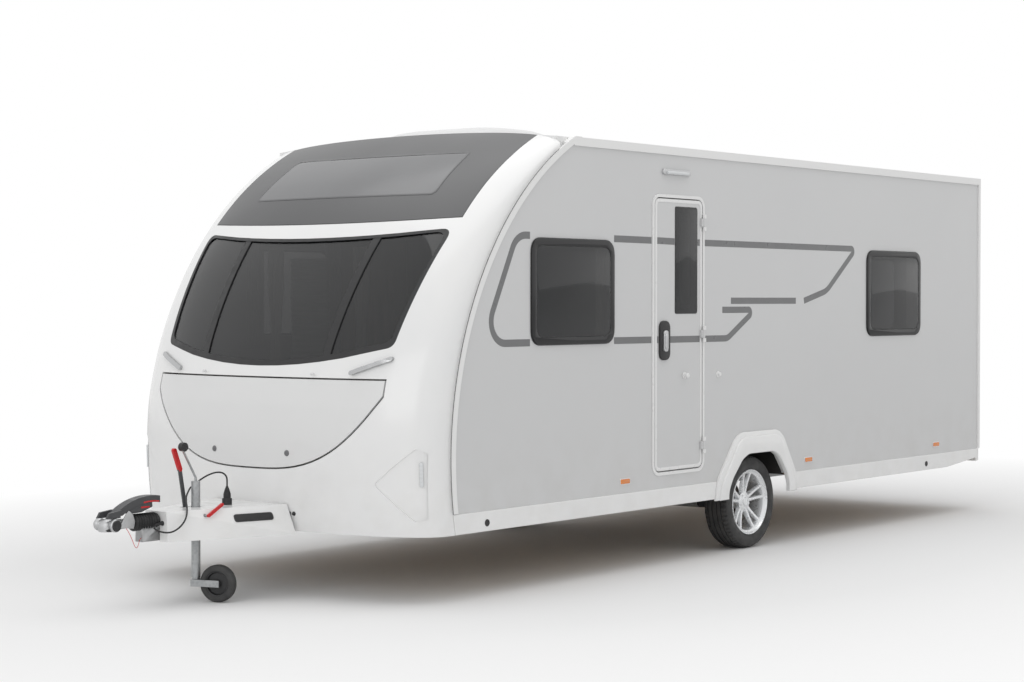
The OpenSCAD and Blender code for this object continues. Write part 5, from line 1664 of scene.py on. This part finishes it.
bmesh.ops.recalc_face_normals(roller_hub, faces=roller_hub.faces)
roller_body = body_of(nodes["jockey_wheel"])[0]
add_piece(
    "jockey_tyre", roller_tyre, tyre_rubber, body=roller_body, node="jockey_wheel", angle=40
)
add_piece("jockey_hub", roller_hub, black_trim, body=roller_body, angle=40)
refined("plug_socket", "plug_holder", black_trim, 0.002)

# ---- Furniture ------------------------------------------------------------------------------
# Seat boxes, a front chest, a wardrobe, a kitchen and a bed base are built in from boards with
# an oak-effect face, and seen dimly through the smoked windows.

oak = Finish("oak_board", Base_Color=(0.46, 0.34, 0.22, 1), Roughness=0.5)
grain = oak.noise(4, detail=8, stretch=(6, 6, 0.7), rough=0.62)
oak.vary("Base Color", oak.blend(oak.fade(grain, 0.3, 0.7), (0.36, 0.25, 0.15, 1), (0.56, 0.43, 0.29, 1)))
oak.vary("Roughness", oak.fade(grain, 0.3, 0.7, 0.42, 0.58))
oak.bump(grain, 0.2, 0.0006)
refined("seat_bases", "seat_boxes", oak, 0.003)
refined("cabin_units", "interior_units", oak, 0.003)
fronts, pulls = bmesh.new(), bmesh.new()
unit_face = -0.5297
for y0, y1, z0, z1 in (
    (-0.916, -0.516, 0.56, 1.50), (-0.916, -0.516, 1.51, 2.38), (-0.495, -0.245, 0.56, 1.18),
    (-0.240, 0.008, 0.56, 1.18),
    (0.014, 0.258, 0.56, 0.76), (0.014, 0.258, 0.77, 0.97), (0.014, 0.258, 0.98, 1.18),
):
    ring_plate(fronts, rectangle(y0, y1, z0, z1, 0.004), None, 0.0003, 0.0120, "X", 0.002)
    ring_plate(
        pulls, rectangle(y1 - 0.05, y1 - 0.035, z1 - 0.16, z1 - 0.06, 0.005), None, 0.0121, 0.0230, "X",
        0.003
    )
for store in (fronts, pulls):
    bmesh.ops.translate(store, vec=(unit_face, 0, 0), verts=store.verts)
add_piece("unit_doors", fronts, oak)
add_piece("unit_pulls", pulls, satin_silver)

# ---- Cushions, mattress and curtains --------------------------------------------------------
# Foam seat cushions and a mattress in woven covers have bulging sides and sewn channels. Cream
# curtains hang gathered at the side windows and the front, with a pleated blind between those.

weave_cloth = Finish("woven_cover", Base_Color=(0.30, 0.285, 0.265, 1), Roughness=0.9, Sheen_Weight=0.3)
warp = weave_cloth.bands("X", 180.0)
weft = weave_cloth.bands("Y", 180.0)
weave_cloth.vary(
    "Base Color",
    weave_cloth.blend(
        warp * weft * 0.5 + weave_cloth.noise(25, detail=5) * 0.5, (0.24, 0.225, 0.21, 1),
        (0.37, 0.355, 0.33, 1)
    ),
)
weave_cloth.bump(warp + weft, 0.4, 0.0008)
curtain_cloth = Finish("curtain_cloth", Base_Color=(0.66, 0.64, 0.60, 1), Roughness=0.9, Sheen_Weight=0.25)
thread = curtain_cloth.bands("Z", 260.0)
curtain_cloth.vary(
    "Base Color",
    curtain_cloth.blend(
        thread * 0.4 + curtain_cloth.noise(8, detail=4) * 0.6, (0.56, 0.54, 0.50, 1), (0.74, 0.72, 0.68, 1)
    )
)
curtain_cloth.bump(thread, 0.3, 0.0006)


def pad(bm, low, high, channels):
    """A foam pad inside a box: crowned faces, pulled-in sides and sewn channels."""
    low, high = Vector(low), Vector(high)
    middle, half = (low + high) / 2, (high - low) / 2
    shape = bmesh.ops.create_cube(bm, size=2)["verts"]
    edges = list({e for v in shape for e in v.link_edges})
    bmesh.ops.subdivide_edges(bm, edges=edges, cuts=26, use_grid_fill=True)
    for v in bm.verts:
        if v.tag:
            continue
        u, w, h = v.co
        swell = (1 - u**6) * (1 - w**6)
        groove = sum(math.exp(-(((w - c) * half.y / 0.012) ** 2)) for c in channels) * (1 - u**8)
        corner = 1 - 0.03 * (u * w) ** 8
        bulge = 0.022 * (1 - h * h) * (abs(u) > 0.999 or abs(w) > 0.999)
        side_pull = corner * (1 + bulge - 0.022)
        rise = h * (0.80 + 0.20 * swell) - (0.10 * groove * h if abs(h) > 0.9 else 0)
        v.co = middle + Vector((u * side_pull * half.x, w * side_pull * half.y, rise * half.z))
        v.tag = True


cushion_boxes = [
    ((0.485, -2.317, 0.9006), (1.065, -1.007, 1.0306)), ((-1.065, -2.317, 0.9006), (-0.485, -1.007, 1.0306))
]
for name, (low, high) in zip(("seat_cushion_left", "seat_cushion_right"), cushion_boxes):
    body_mesh = bmesh.new()
    pad(body_mesh, low, high, (-0.34, 0.34))
    bmesh.ops.recalc_face_normals(body_mesh, faces=body_mesh.faces)
    seat = add_piece(name, body_mesh, weave_cloth, node="seat_cushions", angle=180)
mattress_mesh = bmesh.new()
pad(mattress_mesh, (-1.085, 1.950, 0.9806), (0.295, 3.750, 1.0406), (-0.66, -0.33, 0.0, 0.33, 0.66))
bmesh.ops.recalc_face_normals(mattress_mesh, faces=mattress_mesh.faces)
mattress_piece = add_piece(
    "bed_mattress", mattress_mesh, curtain_cloth, node="mattress", angle=180
)

pleat_deep, pleat_pitch = 0.0115, 0.030
curtain_high, curtain_low, curtain_wide = 1.990, 1.310, 0.148


def curtain(name, place, across_body):
    """One gathered curtain: a fine grid folded into even pleats that loosen towards the hem."""
    bm = bmesh.new()
    bmesh.ops.create_grid(bm, x_segments=80, y_segments=24, size=0.5)
    for v in bm.verts:
        along, up = (v.co.x + 0.5) * curtain_wide, v.co.y + 0.5
        fold = pleat_deep * math.sin(2 * math.pi * along / pleat_pitch + 0.5 * math.sin(3 * up))
        height = curtain_low + up * (curtain_high - curtain_low)
        v.co = Vector(
            (place[0] + fold, place[1] + along, height)
        ) if across_body else Vector((place[0] + along, place[1] + fold, height))
    piece = add_piece(name, bm, curtain_cloth, node="curtains", angle=180)


for side, mark in ((1, "left"), (-1, "right")):
    for i, y in enumerate((-1.782, -1.085, 2.018, 2.715)):
        curtain(f"curtain_{mark}_{i + 1}", (side * 1.0797, y), True)

drape_y, drape_low, drape_high, blind_wide = -2.273, 1.1415, 0.757, 0.296
for mark, middle in (("left", 0.335), ("right", -0.335)):
    bm = bmesh.new()
    bmesh.ops.create_grid(bm, x_segments=80, y_segments=30, size=0.5)
    for v in bm.verts:
        up = v.co.y + 0.5
        gather = 0.62 + 0.38 * min(1.0, abs(up - 0.36) / 0.30) ** 1.5
        fold = pleat_deep * math.sin(2 * math.pi * (v.co.x + 0.5) * 4.5 + 0.4 * math.sin(3 * up))
        v.co = Vector((middle + v.co.x * 0.126 * gather, drape_y + fold, drape_low + up * drape_high))
    drape = add_piece("front_curtain_" + mark, bm, curtain_cloth, node="curtains", angle=180)
bm = bmesh.new()
bmesh.ops.create_grid(bm, x_segments=8, y_segments=120, size=0.5)
for v in bm.verts:
    up = v.co.y + 0.5
    v.co = Vector(
        (
            -0.060 + v.co.x * blind_wide, drape_y + 0.0045 * math.sin(2 * math.pi * up * 20),
            drape_low + up * 0.697
        )
    )
shade = add_piece("front_blind", bm, blind_cloth, node="curtains", angle=180)
